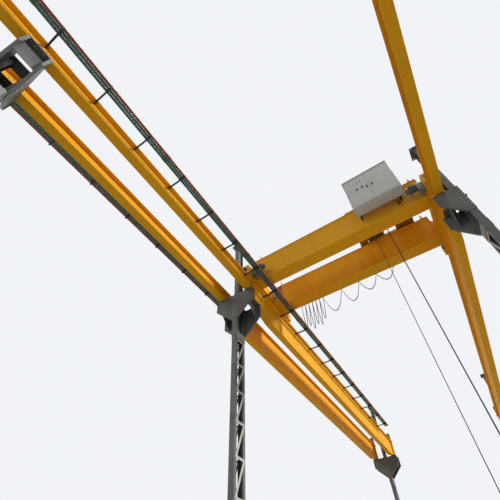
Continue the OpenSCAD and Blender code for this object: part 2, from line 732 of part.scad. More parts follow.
module hoist_motor() {
    color(slate) place() translate([drum_x + motor_x, bridge_y, motor_z]) {
        rod_y(motor_r, gear_y[0] - motor_l, gear_y[0]);
        rod_y(motor_r + 8, gear_y[0] - motor_l - brake_l, gear_y[0] - motor_l);
        block([-70, gear_y[0] - motor_l + 120, motor_r - 20], [70, gear_y[0] - motor_l + 300, motor_r + 60]);
        for (y = [gear_y[0] - motor_l + 80, gear_y[0] - 140]) block([-50, y, side_high - motor_z], [50, y + 60, -motor_r / 2]);
    }
}
module crab_drive() {
    y = gauge / 2 + side_w / 2;
    color(steel) place() translate([crab_x + crab_base / 2, bridge_y, crab_axle_z]) {
        hull() for (z = [0, 120]) translate([0, 0, z]) rod_y(62, -y - 80, -y - 12);
        translate([0, 0, 120]) rod_y(52, -y - 215, -y - 80);
    }
}
eq_x = hook_x + fall_x;
groove_side = rope_d / 2 + 5;
module sheave(r) {
    rotate([-90, 0, 0]) rotate_extrude() polygon([[0, -groove_side - 6], [r + 16, -groove_side - 6],
        [r + 16, -groove_side], [r - rope_d / 2 - 0.5, 4 - groove_side], [r - rope_d / 2 - 0.5, groove_side - 4],
        [r + 16, groove_side], [r + 16, groove_side + 6], [0, groove_side + 6]]);
}
module equalizer() {
    right = crab_x + cross_x[1];
    arm_y = fall_y + 40;
    color(steel) place() translate([0, bridge_y, 0]) {
        translate([eq_x, 0, drum_z]) {
            rotate([0, 0, 90]) sheave(fall_y);
            rod_x(22, -44, 44);
            for (x = [-42, 30]) block([x, -arm_y, side_high - drum_z], [x + 12, arm_y, 40]);
        }
        for (y = [-arm_y, arm_y - 12]) block([eq_x + 30, y, side_high], [right, y + 12, drum_z]);
    }
}
module ropes() {
    color(black) place() for (x = [-fall_x, fall_x], y = [-fall_y, fall_y])
        translate([hook_x + x, bridge_y + y, block_z]) cylinder(r = rope_d / 2, h = drum_z - block_z, $fn = 12);
}

// Hook block
cheek_in = fall_y + groove_side + 12;
cheek_t = 12;
module hook_block() {
    wide = block_half + 90;
    color(amber) place() translate([hook_x, bridge_y, block_z]) {
        for (side = [-1, 1]) difference() {
            translate([0, side * (cheek_in + cheek_t / 2), 0]) along_y(-cheek_t / 2, cheek_t / 2)
                polygon([[-block_half, saddle_low], [-wide, -120], [-wide, 90], [-block_half, 210],
                    [block_half, 210], [wide, 90], [wide, -120], [block_half, saddle_low]]);
            rod_y(axle_r, -cheek_in - cheek_t - 1, cheek_in + cheek_t + 1);
        }
        difference() {
            block([-110, -cheek_in, saddle_low], [110, cheek_in, saddle_high]);
            translate([0, 0, saddle_low - 1]) cylinder(r = shank_r, h = saddle_high - saddle_low + 2);
        }
    }
}
module block_sheaves() {
    color(steel) place() translate([hook_x, bridge_y, block_z]) {
        for (y = [-fall_y, fall_y]) translate([0, y, 0]) sheave(sheave_r);
        rod_y(axle_r - axle_fit, -cheek_in - cheek_t - 15, cheek_in + cheek_t + 15);
    }
}
module block_rope() {
    color(black) place() translate([hook_x, bridge_y, block_z]) for (y = [-fall_y, fall_y])
        translate([0, y, 0]) rotate([90, 0, 0]) rotate([0, 0, 180])
            rotate_extrude(angle = 180) translate([sheave_r, 0]) circle(r = rope_d / 2);
}
module hook() {
    nut = hook_drop + saddle_high;
    color(dark) place() translate([hook_x, bridge_y, block_z - hook_drop]) {
        translate([0, 0, hook_r - 15]) cylinder(r = shank_r - axle_fit, h = nut + nut_h + 15 - hook_r + 15);
        translate([0, 0, nut]) cylinder(r = 60, h = nut_h, $fn = 6);
        rotate([90, 0, 0]) rotate([0, 0, 80]) rotate_extrude(angle = 285) translate([hook_r, 0]) circle(r = hook_bar);
        rotate([0, -5, 0]) translate([hook_r, 0, -2]) cylinder(r1 = hook_bar - 1, r2 = 14, h = 45);
    }
}

center_columns();
side_columns();
center_lacing();
side_lacing();
center_brackets();
side_brackets();
center_upper_shafts();
side_upper_shafts();
base_plates();
left_near_beams();
left_deep_beam();
outer_near_beams();
outer_deep_beam();
right_near_beams();
right_deep_beam();
left_rail();
outer_rail();
right_rail();
end_stops();
conductor_arms();
conductor_bars();
near_girder();
rear_girder();
left_end_carriage();
right_end_carriage();
bridge_wheels();
bridge_buffers();
travel_drives();
crab_rails();
control_panel();
panel_frame();
festoon_track();
festoon_trolleys();
festoon_cable();
current_collector();
crab_frame();
crab_wheels();
hoist_drum();
hoist_gearbox();
hoist_motor();
crab_drive();
equalizer();
ropes();
hook_block();
block_sheaves();
block_rope();
hook();
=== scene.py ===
import json
import math

import bpy
from mathutils import Matrix, Vector


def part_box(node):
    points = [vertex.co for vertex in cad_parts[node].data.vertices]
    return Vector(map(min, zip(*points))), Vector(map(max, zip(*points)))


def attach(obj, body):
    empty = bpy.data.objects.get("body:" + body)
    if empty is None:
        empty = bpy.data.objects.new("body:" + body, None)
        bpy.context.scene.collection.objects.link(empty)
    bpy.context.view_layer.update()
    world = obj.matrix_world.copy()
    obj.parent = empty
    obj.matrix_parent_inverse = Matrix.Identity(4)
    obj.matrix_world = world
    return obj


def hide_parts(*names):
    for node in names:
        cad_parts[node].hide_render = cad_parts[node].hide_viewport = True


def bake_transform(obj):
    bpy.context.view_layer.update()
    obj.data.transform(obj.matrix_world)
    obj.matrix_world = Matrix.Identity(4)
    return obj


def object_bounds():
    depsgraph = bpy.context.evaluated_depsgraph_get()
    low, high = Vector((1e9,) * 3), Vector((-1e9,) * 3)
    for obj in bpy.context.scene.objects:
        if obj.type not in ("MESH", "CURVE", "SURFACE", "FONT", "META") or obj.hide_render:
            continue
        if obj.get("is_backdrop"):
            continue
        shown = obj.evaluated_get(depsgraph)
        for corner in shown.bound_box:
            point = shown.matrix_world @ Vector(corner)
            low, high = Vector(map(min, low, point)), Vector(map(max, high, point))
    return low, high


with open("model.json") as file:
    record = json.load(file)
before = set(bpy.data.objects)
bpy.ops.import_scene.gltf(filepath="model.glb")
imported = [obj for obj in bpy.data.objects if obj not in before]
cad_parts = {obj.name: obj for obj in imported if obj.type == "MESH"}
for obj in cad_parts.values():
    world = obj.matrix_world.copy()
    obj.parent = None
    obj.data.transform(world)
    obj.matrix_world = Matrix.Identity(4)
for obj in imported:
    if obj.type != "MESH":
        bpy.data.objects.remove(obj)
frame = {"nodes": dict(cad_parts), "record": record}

start_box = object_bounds()
nodes = frame["nodes"]

# %% [markdown]
# ## The photograph's camera
# The camera stands on the floor between two column lines and looks up at the bridge. Its place,
# turn and lens were fitted to the edges of the beams, girders and columns. The turn is kept as
# three directions: to the right of the picture, down it, and into it.

# %% Camera
scene = bpy.context.scene
RIGHT = Vector((0.83792838, 0.54553706, -0.01628999))
DOWN = Vector((-0.39916241, 0.59219969, -0.69997779))
AHEAD = Vector((-0.37221690, 0.59303360, 0.71397880))
CAMERA_PLACE = (1.645, -6.80, 1.6)
data = bpy.data.cameras.new("photo_camera")
data.lens, data.sensor_width, data.shift_y = 24.608, 36, 0.1
data.clip_start, data.clip_end = 0.1, 900
camera = bpy.data.objects.new("photo_camera", data)
scene.collection.objects.link(camera)
turn = Matrix((RIGHT, -DOWN, -AHEAD)).transposed().to_4x4()
camera.matrix_world = Matrix.Translation(CAMERA_PLACE) @ turn
scene.camera = camera
scene.view_settings.view_transform = "Standard"
print("camera at", CAMERA_PLACE, "lens", data.lens)


# %% [markdown]
# ## A helper for materials
# A finish on real steel is never one even colour. Each material here is a small graph of nodes: a
# base colour that clouds over with noise, a roughness that changes with it, and a fine bump. Noise
# is sharp at any distance and needs no unwrapping, unlike an image.

# %% Graph helper
class Graph:
    def __init__(self, name, metallic=0.0):
        self.material = bpy.data.materials.new(name)
        self.material.use_nodes = True
        self.tree = self.material.node_tree
        self.shader = self.tree.nodes["Principled BSDF"]
        self.shader.inputs["Metallic"].default_value = metallic
        self.place = self.add("ShaderNodeTexCoord").outputs["Object"]

    def add(self, kind, **values):
        node = self.tree.nodes.new(kind)
        for key, value in values.items():
            setattr(node, key, value)
        return node

    def put(self, target, value):
        """A value is either the output of another node or a constant."""
        if hasattr(value, "is_output"):
            self.tree.links.new(value, target)
        else:
            target.default_value = value

    def fill(self, node, **values):
        """Inputs by name, with an underscore for a space."""
        for key, value in values.items():
            self.put(node.inputs[key.replace("_", " ")], value)

    def stretch(self, scale):
        node = self.add("ShaderNodeMapping")
        self.fill(node, Scale=scale, Vector=self.place)
        return node.outputs["Vector"]

    def noise(self, scale, detail=4.0, rough=0.55, where=None):
        node = self.add("ShaderNodeTexNoise")
        self.fill(node, Vector=where or self.place, Scale=scale, Detail=detail, Roughness=rough)
        return node.outputs["Fac"]

    def ramp(self, value, low, high, out_low=0.0, out_high=1.0):
        node = self.add("ShaderNodeMapRange")
        self.fill(node, Value=value, From_Min=low, From_Max=high, To_Min=out_low, To_Max=out_high)
        return node.outputs["Result"]

    def mix(self, factor, a, b):
        node = self.add("ShaderNodeMix", data_type="RGBA")
        for socket, value in zip((node.inputs["Factor"], node.inputs[6], node.inputs[7]), (factor, a, b)):
            self.put(socket, value)
        return node.outputs[2]

    def calc(self, operation, a, b=0.0):
        node = self.add("ShaderNodeMath", operation=operation)
        self.put(node.inputs[0], a)
        self.put(node.inputs[1], b)
        return node.outputs[0]

    def times(self, a, b):
        return self.calc("MULTIPLY", a, b)

    def part_of(self, vector, axis):
        split = self.add("ShaderNodeSeparateXYZ")
        self.put(split.inputs[0], vector)
        return split.outputs[axis]

    def facing_up(self):
        return self.part_of(self.add("ShaderNodeNewGeometry").outputs["Normal"], "Z")

    def bump(self, height, strength, distance):
        node = self.add("ShaderNodeBump")
        self.fill(node, Strength=strength, Distance=distance, Height=height)
        self.put(self.shader.inputs["Normal"], node.outputs["Normal"])

    def finish(self, colour, rough):
        self.put(self.shader.inputs["Base Color"], colour)
        self.put(self.shader.inputs["Roughness"], rough)
        return self.material


def rgba(colour, gain=1.0):
    return (*[min(1.0, c * gain) for c in colour], 1.0)


# %% [markdown]
# ## Painted steel
# Beams, girders and columns are rolled or welded steel under enamel. The paint is nearly even, with
# slow clouds where it faded, thin streaks where water ran down the webs, dust on whatever faces up,
# and a few small chips with brown primer under them. The crab's paint is a little darker, and its
# downward faces get painted shade, mottled dark brown like grease.

# %% Paint
DUST, PRIMER, GREASE_AND_SHADE = (0.30, 0.27, 0.22), (0.12, 0.06, 0.035), (0.05, 0.035, 0.02)
DOWNWARD = (7, 7, 0.5)


def paint(name, colour, dirt, rough=0.38, streaks=0.3, dust=0.4, gloss=0.35, grease_shade=0.0):
    g = Graph(name)
    g.shader.inputs["Specular IOR Level"].default_value = gloss
    cloud = g.ramp(g.noise(0.7, 3), 0.35, 0.68, 0.0, 0.55)
    base = g.mix(cloud, rgba(colour), rgba(colour, 0.84))
    run = g.ramp(g.noise(1.0, 5, 0.6, g.stretch(DOWNWARD)), 0.54, 0.8)
    base = g.mix(g.times(run, streaks), base, rgba(dirt))
    lying = g.times(g.ramp(g.facing_up(), 0.5, 0.95), g.ramp(g.noise(3, 4), 0.3, 0.65, 0.35, 1.0))
    base = g.mix(g.times(lying, dust), base, rgba(DUST))
    # Painted shade: faces that look down turn dark brown, mottled like grease, so an underside stays dark.
    if grease_shade:
        grease_shade_patches = g.ramp(g.noise(4, 4), 0.25, 0.6, 0.5, 1.0)
        shaded_underside = g.times(g.ramp(g.facing_up(), -0.9, -0.4, 1.0, 0.0), grease_shade_patches)
        base = g.mix(g.times(shaded_underside, grease_shade), base, rgba(GREASE_AND_SHADE))
    chip = g.ramp(g.noise(11, 6, 0.7), 0.70, 0.725)
    base = g.mix(g.times(chip, 0.7), base, rgba(PRIMER))
    g.bump(g.noise(28, 3), 0.05, 0.004)
    return g.finish(base, g.ramp(g.noise(2.5, 4), 0.3, 0.7, rough - 0.06, rough + 0.14))


YELLOW = paint("crane_yellow", (0.88, 0.43, 0.012), (0.40, 0.20, 0.03), 0.5, 0.3, 0.4, 0.1)
FRAME = paint("frame_paint", (0.118, 0.128, 0.120), (0.19, 0.155, 0.11), 0.46, 0.35, 0.5)
# Lacing and straps: the frame's dark paint made pale grey, which is painted light on them.
FRAME_PAINT_LIT = paint("lacing_paint", (0.46, 0.48, 0.44), (0.22, 0.19, 0.14), 0.5, 0.35)
PANEL = paint("panel_paint", (0.56, 0.57, 0.55), (0.33, 0.31, 0.27), 0.34, 0.2, 0.3)
DRIVE = paint("drive_paint", (0.15, 0.17, 0.175), (0.10, 0.085, 0.07), 0.4, 0.3, 0.5)
# The crab's paint: a little darker, with painted shade on its downward faces.
CRAB_YELLOW_SHADED = paint("crab_yellow_shaded", (0.82, 0.40, 0.012), (0.36, 0.18, 0.03), 0.5, 0.4, 0.5, 0.1, 0.8)
DARK = paint("dark_steel", (0.032, 0.034, 0.036), (0.09, 0.08, 0.065), 0.45, 0.2, 0.3)
print("paints: 7")

# %% [markdown]
# ## Bare steel, rubber and plastic
# Rails and wheels are bare: grey mill scale with patches of brown rust. Rope is steel under black
# grease. Rubber and plastic are even, but for a slight cloud and a fine bump.

# %% Bare steel and plastics
RUST = (0.17, 0.08, 0.04)


def steel(name, colour, rough=0.36, rusting=0.5):
    g = Graph(name, 0.85)
    base = g.mix(g.ramp(g.noise(6, 4), 0.35, 0.7), rgba(colour), rgba(colour, 0.7))
    rust = g.ramp(g.noise(9, 6, 0.68), 0.55, 0.68)
    base = g.mix(g.times(rust, rusting), base, rgba(RUST))
    g.bump(g.noise(90, 3), 0.12, 0.002)
    return g.finish(base, g.ramp(g.noise(12, 3), 0.3, 0.7, rough, rough + 0.25))


def moulded(name, colour, rough=0.5, grain=0.1, metallic=0.0):
    g = Graph(name, metallic)
    base = g.mix(g.ramp(g.noise(4, 4), 0.35, 0.7), rgba(colour), rgba(colour, 0.78))
    base = g.mix(g.ramp(g.facing_up(), 0.6, 1.0, 0.0, 0.25), base, rgba(DUST))
    g.bump(g.noise(150, 2), grain, 0.001)
    return g.finish(base, g.ramp(g.noise(9, 2), 0.3, 0.7, rough - 0.06, rough + 0.1))


RAIL = steel("rail_steel", (0.42, 0.40, 0.38))
BOLT = steel("bolt_steel", (0.40, 0.39, 0.37), 0.4, 0.35)
RUBBER = moulded("buffer_rubber", (0.02, 0.02, 0.02), 0.7, 0.25)
SHEATH = moulded("cable_sheath", (0.018, 0.018, 0.02), 0.45)
ROPE = moulded("wire_rope", (0.030, 0.029, 0.028), 0.42, 0.2, 0.6)
RED = moulded("collector_red", (0.42, 0.022, 0.06), 0.35)
GREEN = moulded("bar_green", (0.035, 0.135, 0.105), 0.4)
MAROON = moulded("bar_red", (0.30, 0.045, 0.035), 0.4)
CREAM = moulded("bar_cream", (0.62, 0.55, 0.38), 0.45)
LAMP_RED = moulded("button_red", (0.45, 0.02, 0.02), 0.25)
LAMP_GREEN = moulded("button_green", (0.02, 0.22, 0.06), 0.25)
print("bare finishes: 11")

# %% [markdown]
# ## Finishes on the CAD nodes
# The record names a material slot for every node. The node keeps its mesh and only gets the finish
# of its slot.

# %% Dress the nodes
FINISH = {"crane_yellow": YELLOW, "frame_paint": FRAME, "lacing_paint": FRAME_PAINT_LIT, "panel_paint": PANEL,
          "drive_paint": DRIVE, "rail_steel": RAIL, "dark_steel": DARK, "buffer_rubber": RUBBER,
          "cable_sheath": SHEATH, "wire_rope": ROPE, "collector_red": RED, "bar_insulation": GREEN}
slots = {row["node"]: row["material_slot"] for row in frame["record"]["subparts"]}
for name, node in nodes.items():
    node.data.materials.clear()
    # The crab's frame gets the crab paint with painted shade on its underside, not the finish of its slot.
    node.data.materials.append(CRAB_YELLOW_SHADED if name == "crab_frame" else FINISH[slots[name]])
print(len(FINISH), "finishes on", len(nodes), "nodes")

# %% [markdown]
# ## A helper for shapes
# Most fittings are plates, turned parts, bent tubes and bolts. They could be primitives with
# modifiers, but hundreds of objects are slow. So one Shape gathers the points and faces of many
# fittings into a single mesh.

# %% Shape helper
ROPE_SIDES, LOBES, LOBE_DEPTH = 10, 5, 0.07


class Shape:
    """All points are given from the shape's origin."""
    def __init__(self, origin=(0, 0, 0)):
        self.origin = Vector(origin)
        self.points, self.faces, self.marks = [], [], []

    def add(self, points, faces, mark=0):
        start = len(self.points)
        self.points += [tuple(self.origin + Vector(p)) for p in points]
        self.faces += [[start + i for i in face] for face in faces]
        self.marks += [mark] * len(faces)

    def skin(self, rings, mark=0):
        """Rings of points, joined one after another and closed at both ends."""
        n, last = len(rings[0]), len(rings) - 1
        faces = [(r * n + i, r * n + (i + 1) % n, (r + 1) * n + (i + 1) % n, (r + 1) * n + i)
                 for r in range(last) for i in range(n)]
        faces += [tuple(range(n - 1, -1, -1)), tuple(last * n + i for i in range(n))]
        self.add([p for ring in rings for p in ring], faces, mark)

    def block(self, low, high, mark=0):
        low, high = Vector(low), Vector(high)
        square = ((low.x, low.y), (high.x, low.y), (high.x, high.y), (low.x, high.y))
        self.skin([[(x, y, z) for x, y in square] for z in (low.z, high.z)], mark)

    def plate(self, outline, origin, across, up, depth, mark=0):
        """A flat outline, in metres along across and up, made as thick as the vector depth."""
        front = [Vector(origin) + across * a + up * b for a, b in outline]
        self.skin([front, [p + Vector(depth) for p in front]], mark)

    def turned(self, centre, axis, profile, sides=16, mark=0):
        """A turned part: pairs of radius and distance along the axis."""
        u, v, w = frame_of(axis)
        centre = Vector(centre)
        self.skin([[centre + w * h + spoke(u, v, t) * r for t in circle(sides)] for r, h in profile], mark)

    def bolt(self, centre, axis, size):
        """A washer and a hexagon head with chamfered corners, on a face at centre."""
        self.turned(centre, axis, ((1.15 * size, 0), (1.15 * size, 0.16 * size)), 12)
        self.turned(centre, axis, ((size, 0.16 * size), (size, 0.72 * size), (0.84 * size, 0.85 * size)), 6)

    def bolt_ring(self, centre, axis, radius, count, size, start=0.0):
        """Bolts on an upright flange whose axis is along X or Y."""
        level = Vector((abs(axis[1]), abs(axis[0]), 0))
        for t in circle(count, start):
            self.bolt(Vector(centre) + spoke(level, UP, t) * radius, axis, size)

    def tube(self, path, radius, sides=10, lobes=0, twist=0.0):
        """A round bar or cable along a path; a rope has lobes that twist, in turns a metre."""
        path = [Vector(p) for p in path]
        rings, side, run = [], None, 0.0
        for i, p in enumerate(path):
            ahead = (path[min(i + 1, len(path) - 1)] - path[max(i - 1, 0)]).normalized()
            if side is None:
                side = frame_of(ahead)[0]
            side = (side - ahead * side.dot(ahead)).normalized()
            other = ahead.cross(side)
            run += (p - path[i - 1]).length if i else 0.0
            ring = []
            for t in circle(sides):
                r = radius * (1 - LOBE_DEPTH * (1 - math.cos(lobes * t)) if lobes else 1)
                s = t + 2 * math.pi * twist * run
                ring.append(p + spoke(side, other, s) * r)
            rings.append(ring)
        self.skin(rings)

    def rope(self, path, radius, twist):
        self.tube(path, radius, ROPE_SIDES, LOBES, twist)

    def cable(self, knots, radius, sides=10):
        self.tube(curve_through(knots), radius, sides)


ACROSS, ALONG, UP = Vector((1, 0, 0)), Vector((0, 1, 0)), Vector((0, 0, 1))
SIDES = (-1, 1)


def mm(*pairs):
    """An outline or profile written in millimetres."""
    return [tuple(c / 1000 for c in pair) for pair in pairs]


def circle(count, start=0.0):
    """Angles in even steps once round; start is a share of a step."""
    return [2 * math.pi * (i + start) / count for i in range(count)]


def spoke(u, v, t):
    """From a circle's centre to its rim at the angle t, between u and v."""
    return u * math.cos(t) + v * math.sin(t)


def frame_of(axis):
    """Two directions across an axis, and the axis itself."""
    w = Vector(axis).normalized()
    u = w.orthogonal().normalized() if abs(w.z) < 0.9 else Vector((1, 0, 0))
    u = (u - w * u.dot(w)).normalized()
    return u, w.cross(u), w


def curve_through(knots, steps=8):
    """A smooth path through a few knots."""
    knots, path = [Vector(p) for p in (knots[0], *knots, knots[-1])], []
    for a, b, c, d in zip(knots, knots[1:], knots[2:], knots[3:]):
        for t in (j / steps for j in range(steps)):
            path.append(0.5 * (2 * b + (c - a) * t + (2 * a - 5 * b + 4 * c - d) * t * t
                        + (3 * b - a - 3 * c + d) * t ** 3))
    return path + [knots[-2]]


# %% [markdown]
# ## From shape to piece
# A piece gets its finish, a small bevel so that its edges catch light, soft shading on its round
# faces, and a body to ride on.

# %% Piece helper
made = {}
SHARP, BEVELLED = math.radians(35), math.radians(40)


def piece(name, shape, finishes, body, bevel=0.0, replaced=()):
    mesh = bpy.data.meshes.new(name)
    mesh.from_pydata(shape.points, [], shape.faces)
    for finish in finishes:
        mesh.materials.append(finish)
    mesh.polygons.foreach_set("material_index", shape.marks)
    mesh.shade_smooth()
    mesh.set_sharp_from_angle(angle=SHARP)
    obj = bpy.data.objects.new(name, mesh)
    scene.collection.objects.link(obj)
    if bevel:
        rounding = obj.modifiers.new("edges", "BEVEL")
        rounding.width, rounding.segments, rounding.limit_method = bevel, 1, "ANGLE"
        rounding.angle_limit = BEVELLED
    if body:
        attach(obj, body)
    if replaced:
        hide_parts(*replaced)
    made[name] = sum(len(face) - 2 for face in shape.faces)
    print(name, made[name], "triangles")
    return obj


# %% [markdown]
# ## Where things are
# The fittings sit on the CAD parts, so their places come from the boxes of the nodes and from a
# few sizes of the model, in metres. The seat is the bracket's top, which is lower under the deep
# beams. A column is two channels, whose laced sides face across the bay.

# %% Places
LINES = (-16.0, -8.0, 0.0, 16.0)
BEAM_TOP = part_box("left_rail")[0].z
NEAR_BEAM, DEEP_END = 0.48, 0.94
NEAR_SEAT, DEEP_SEAT = BEAM_TOP - NEAR_BEAM, BEAM_TOP - DEEP_END
FLANGE, HALF_WEB = 0.02, 0.006
BASE_TOP, LACED_SIDE, BRACKET_FACE = 0.03, 0.09, 0.242


def middle(node):
    low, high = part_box(node)
    return (low + high) / 2


CENTER_X, SIDE_X = middle("center_columns").x, middle("side_columns").x
RAILS = {name: middle(name).x for name in ("left_rail", "outer_rail", "right_rail")}
print("columns at x", round(CENTER_X, 3), round(SIDE_X, 3), "with", len(RAILS), "rails")

# %% [markdown]
# ## Rail clips
# A crane rail isn't welded to its beam. Pairs of clips, 60 mm long, hold its foot, each with a
# nose over the foot and one bolt through the beam's flange.

# %% Rail clips
CLIP_PITCH, CLIP_L, CLIP_BOLT = 0.64, 0.06, 0.015
CLIP_NOSE = mm((36, 12.4), (51, 9.3), (51, 0.2), (108, 0.2), (108, 15), (64, 17), (56, 26), (36, 26))
clips = Shape()
for x in RAILS.values():
    for k in range(int((LINES[3] - LINES[0]) / CLIP_PITCH)):
        y = LINES[0] + 0.3 + k * CLIP_PITCH
        for side in SIDES:
            clips.plate(CLIP_NOSE, (x, y - CLIP_L / 2, BEAM_TOP), side * ACROSS, UP, CLIP_L * ALONG)
            clips.bolt((x + side * 0.085, y, BEAM_TOP + 0.0155), UP, CLIP_BOLT)
            clips.bolt((x + side * 0.085, y, BEAM_TOP - FLANGE), -UP, CLIP_BOLT)
piece("rail_clips", clips, [BOLT], "runway")

# %% [markdown]
# ## Column feet
# Under each column a thick plate spreads the load, with upright ribs welded to the column, and a
# nut, a washer and a bolt's end on each anchor.

# %% Column feet
RIB_T, ANCHOR_X, ANCHOR_Y = 0.012, 0.18, 0.37
WASHER = mm((34, 0), (34, 6))
NUT = mm((26, 6), (28, 9), (28, 30), (25, 34))
STUD = mm((14.5, 34), (14.5, 66), (12, 70))


def rib(reach):
    return mm((0, 0), (reach, 0), (reach, 30), (30, 260), (0, 260))


feet, anchors = Shape(), Shape()
for x in (CENTER_X, SIDE_X):
    for y in LINES:
        for side in SIDES:
            for off in (-0.06, 0.06):
                feet.plate(rib(170), (x + off - RIB_T / 2, y + side * 0.23, BASE_TOP),
                           side * ALONG, UP, RIB_T * ACROSS)
            for off in (-0.14, 0.14):
                feet.plate(rib(130), (x + side * LACED_SIDE, y + off - RIB_T / 2, BASE_TOP),
                           side * ACROSS, UP, RIB_T * ALONG)
            for end in SIDES:
                for profile, sides in ((WASHER, 20), (NUT, 6), (STUD, 14)):
                    anchors.turned((x + end * ANCHOR_X, y + side * ANCHOR_Y, BASE_TOP), UP, profile, sides)
piece("foot_ribs", feet, [FRAME], "runway", 0.002)
piece("anchor_nuts", anchors, [BOLT], "runway")

# %% [markdown]
# ## Bolts of the lacing and the brackets
# Each corner of the lacing has a bolt, and each bracket plate is bolted to the channels in two
# rows. Level straps close the column under the bracket. The beams are bolted to the seats through
# their bottom flange.

# %% Lacing bolts and straps
BRACKET_H, STRAP_H, LACING_STEP, LACING_BOLT = 1.12, 0.3, 0.78, 0.014
STRAP = mm((-200, -16), (200, -16), (200, 16), (-200, 16))
lacing_bolts, straps = Shape(), Shape()
for x in (CENTER_X, SIDE_X):
    for i, y in enumerate(LINES):
        strap_z = (NEAR_SEAT if i < 2 else DEEP_SEAT) - FLANGE - BRACKET_H - STRAP_H
        low, high = BASE_TOP + STRAP_H + 0.06, strap_z - 0.06
        panels = int((high - low) / LACING_STEP)
        corners = [low + k * (high - low) / panels for k in range(panels + 1)]
        batten = [z + up for z in (BASE_TOP, strap_z) for up in (0.06, 0.15, 0.24)]
        for side in SIDES:
            for end in SIDES:
                for off, heights in ((0.175, corners), (0.185, batten)):
                    for z in heights:
                        lacing_bolts.bolt((x + side * LACED_SIDE, y + end * off, z),
                                          side * ACROSS, LACING_BOLT)
            for k in range(4):
                straps.plate(STRAP, (x + side * 0.0902, y, strap_z + 0.045 + k * 0.07),
                             ALONG, UP, side * 0.010 * ACROSS)
piece("lacing_bolts", lacing_bolts, [BOLT], "runway")
piece("column_straps", straps, [FRAME_PAINT_LIT], "runway", 0.001)

# %% Bracket and seat bolts
BRACKET_BOLT, JOINT_SHIFT = 0.016, 0.035
bracket_bolts = Shape()
for x, beams in ((CENTER_X, ("left_rail", "outer_rail")), (SIDE_X, ("right_rail",))):
    for i, y in enumerate(LINES):
        for end in SIDES:
            seat = DEEP_SEAT if i == 3 or (i == 2 and end > 0) else NEAR_SEAT
            for k in range(7):
                for off in (-0.05, 0.05):
                    bracket_bolts.bolt((x + off, y + end * BRACKET_FACE, seat - 0.16 - k * 0.13),
                                       end * ALONG, BRACKET_BOLT)
            for beam in beams:
                for off in (-0.085, 0.085):
                    for along in (0.09, 0.19):
                        place = (RAILS[beam] + off, y + end * along - (JOINT_SHIFT if i == 2 else 0))
                        bracket_bolts.bolt((*place, seat + FLANGE), UP, BRACKET_BOLT)
                        bracket_bolts.bolt((*place, seat - FLANGE), -UP, BRACKET_BOLT)
piece("bracket_bolts", bracket_bolts, [BOLT], "runway")

# %% [markdown]
# ## Beams
# Where two runway beams meet, bolted splice plates join their webs. Weld beads, thin three-sided
# bars, run along the corners of the deep beams, which are welded from plate. DEEP_EDGE follows the
# deep beam's underside: how far along, and how deep there.

# %% Splices
SPLICE_T, SPLICE_LOW = 0.01, NEAR_SEAT + 0.06
splices, splice_bolts = Shape(), Shape()
for x in RAILS.values():
    for y in (LINES[1], LINES[2] - JOINT_SHIFT):
        for side in SIDES:
            near, far = sorted((side * HALF_WEB, side * (HALF_WEB + SPLICE_T)))
            splices.block((x + near, y - 0.16, SPLICE_LOW), (x + far, y + 0.16, BEAM_TOP - 0.06))
            for along in (-0.12, -0.05, 0.05, 0.12):
                for k in range(4):
                    place = (x + side * (HALF_WEB + SPLICE_T), y + along, SPLICE_LOW + 0.045 + k * 0.09)
                    splice_bolts.bolt(place, side * ACROSS, 0.015)
piece("splice_plates", splices, [YELLOW], "runway", 0.001)
piece("splice_bolts", splice_bolts, [BOLT], "runway")

# %% Beam welds
BEAD = 0.009
DEEP_EDGE = ((0.0, DEEP_END), (0.282, DEEP_END), (1.082, 1.15), (14.918, 1.15), (15.718, DEEP_END),
             (16.2, DEEP_END))
beam_welds = Shape()
for x in RAILS.values():
    for side in SIDES:
        web = x + side * HALF_WEB
        beam_welds.plate(((0, 0), (side * BEAD, 0), (0, -BEAD)), (web, 0.0, BEAM_TOP - FLANGE),
                         ACROSS, UP, DEEP_EDGE[-1][0] * ALONG)
        for (y0, deep0), (y1, deep1) in zip(DEEP_EDGE, DEEP_EDGE[1:]):
            beam_welds.plate(((0, 0), (side * BEAD, 0), (0, BEAD)), (web, y0, BEAM_TOP - deep0 + FLANGE),
                             ACROSS, UP, (0, y1 - y0, deep0 - deep1))
piece("beam_welds", beam_welds, [YELLOW], "runway")

# %% [markdown]
# ## Conductor bars
# The crane takes its current from three bars along each beam line. A bar is a copper rail in a
# plastic shroud with a slot on top, where the collector's shoe slides. One outline is swept along
# the whole run: shoulders, a slot, and a foot that the hangers grip. Couplers join its lengths.
# The two bars nearest the beam are green, and the third is red with a cream edge.

# %% Conductor bars
bar_low, bar_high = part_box("conductor_bars")
BAR_OUT, BAR_PITCH, BAR_H = 0.12 + 0.32, 0.075, bar_high.z - bar_low.z
COUPLER_FROM, COUPLER_TO = 0.55, 0.71
ARM_Y = [LINES[0] + 1.67 + k * 1.26 for k in range(24)]
ARM_Y = [y for y in ARM_Y if bar_low.y + 0.1 < y < bar_high.y - 0.1]
COUPLED = [y for y in ARM_Y[1::3] if y + COUPLER_TO < bar_high.y]
RIGHT_HALF = [*mm((27, 0), (31, 4), (31, 12), (25, 15), (25, 18), (31, 22), (31, 37)),
              (0.020, BAR_H), (0.006, BAR_H), (0.006, 0.034)]
LEFT_HALF = [(-across, up) for across, up in RIGHT_HALF]
SHROUD = LEFT_HALF[:1] + RIGHT_HALF + LEFT_HALF[:0:-1]


def cheeks(shape, x, y0, y1, low, high, mark=0):
    """A thin plate on each side of a bar."""
    for side in SIDES:
        shape.block((x + side * 0.034 - 0.003, y0, bar_low.z + low),
                    (x + side * 0.034 + 0.003, y1, bar_low.z + high), mark)


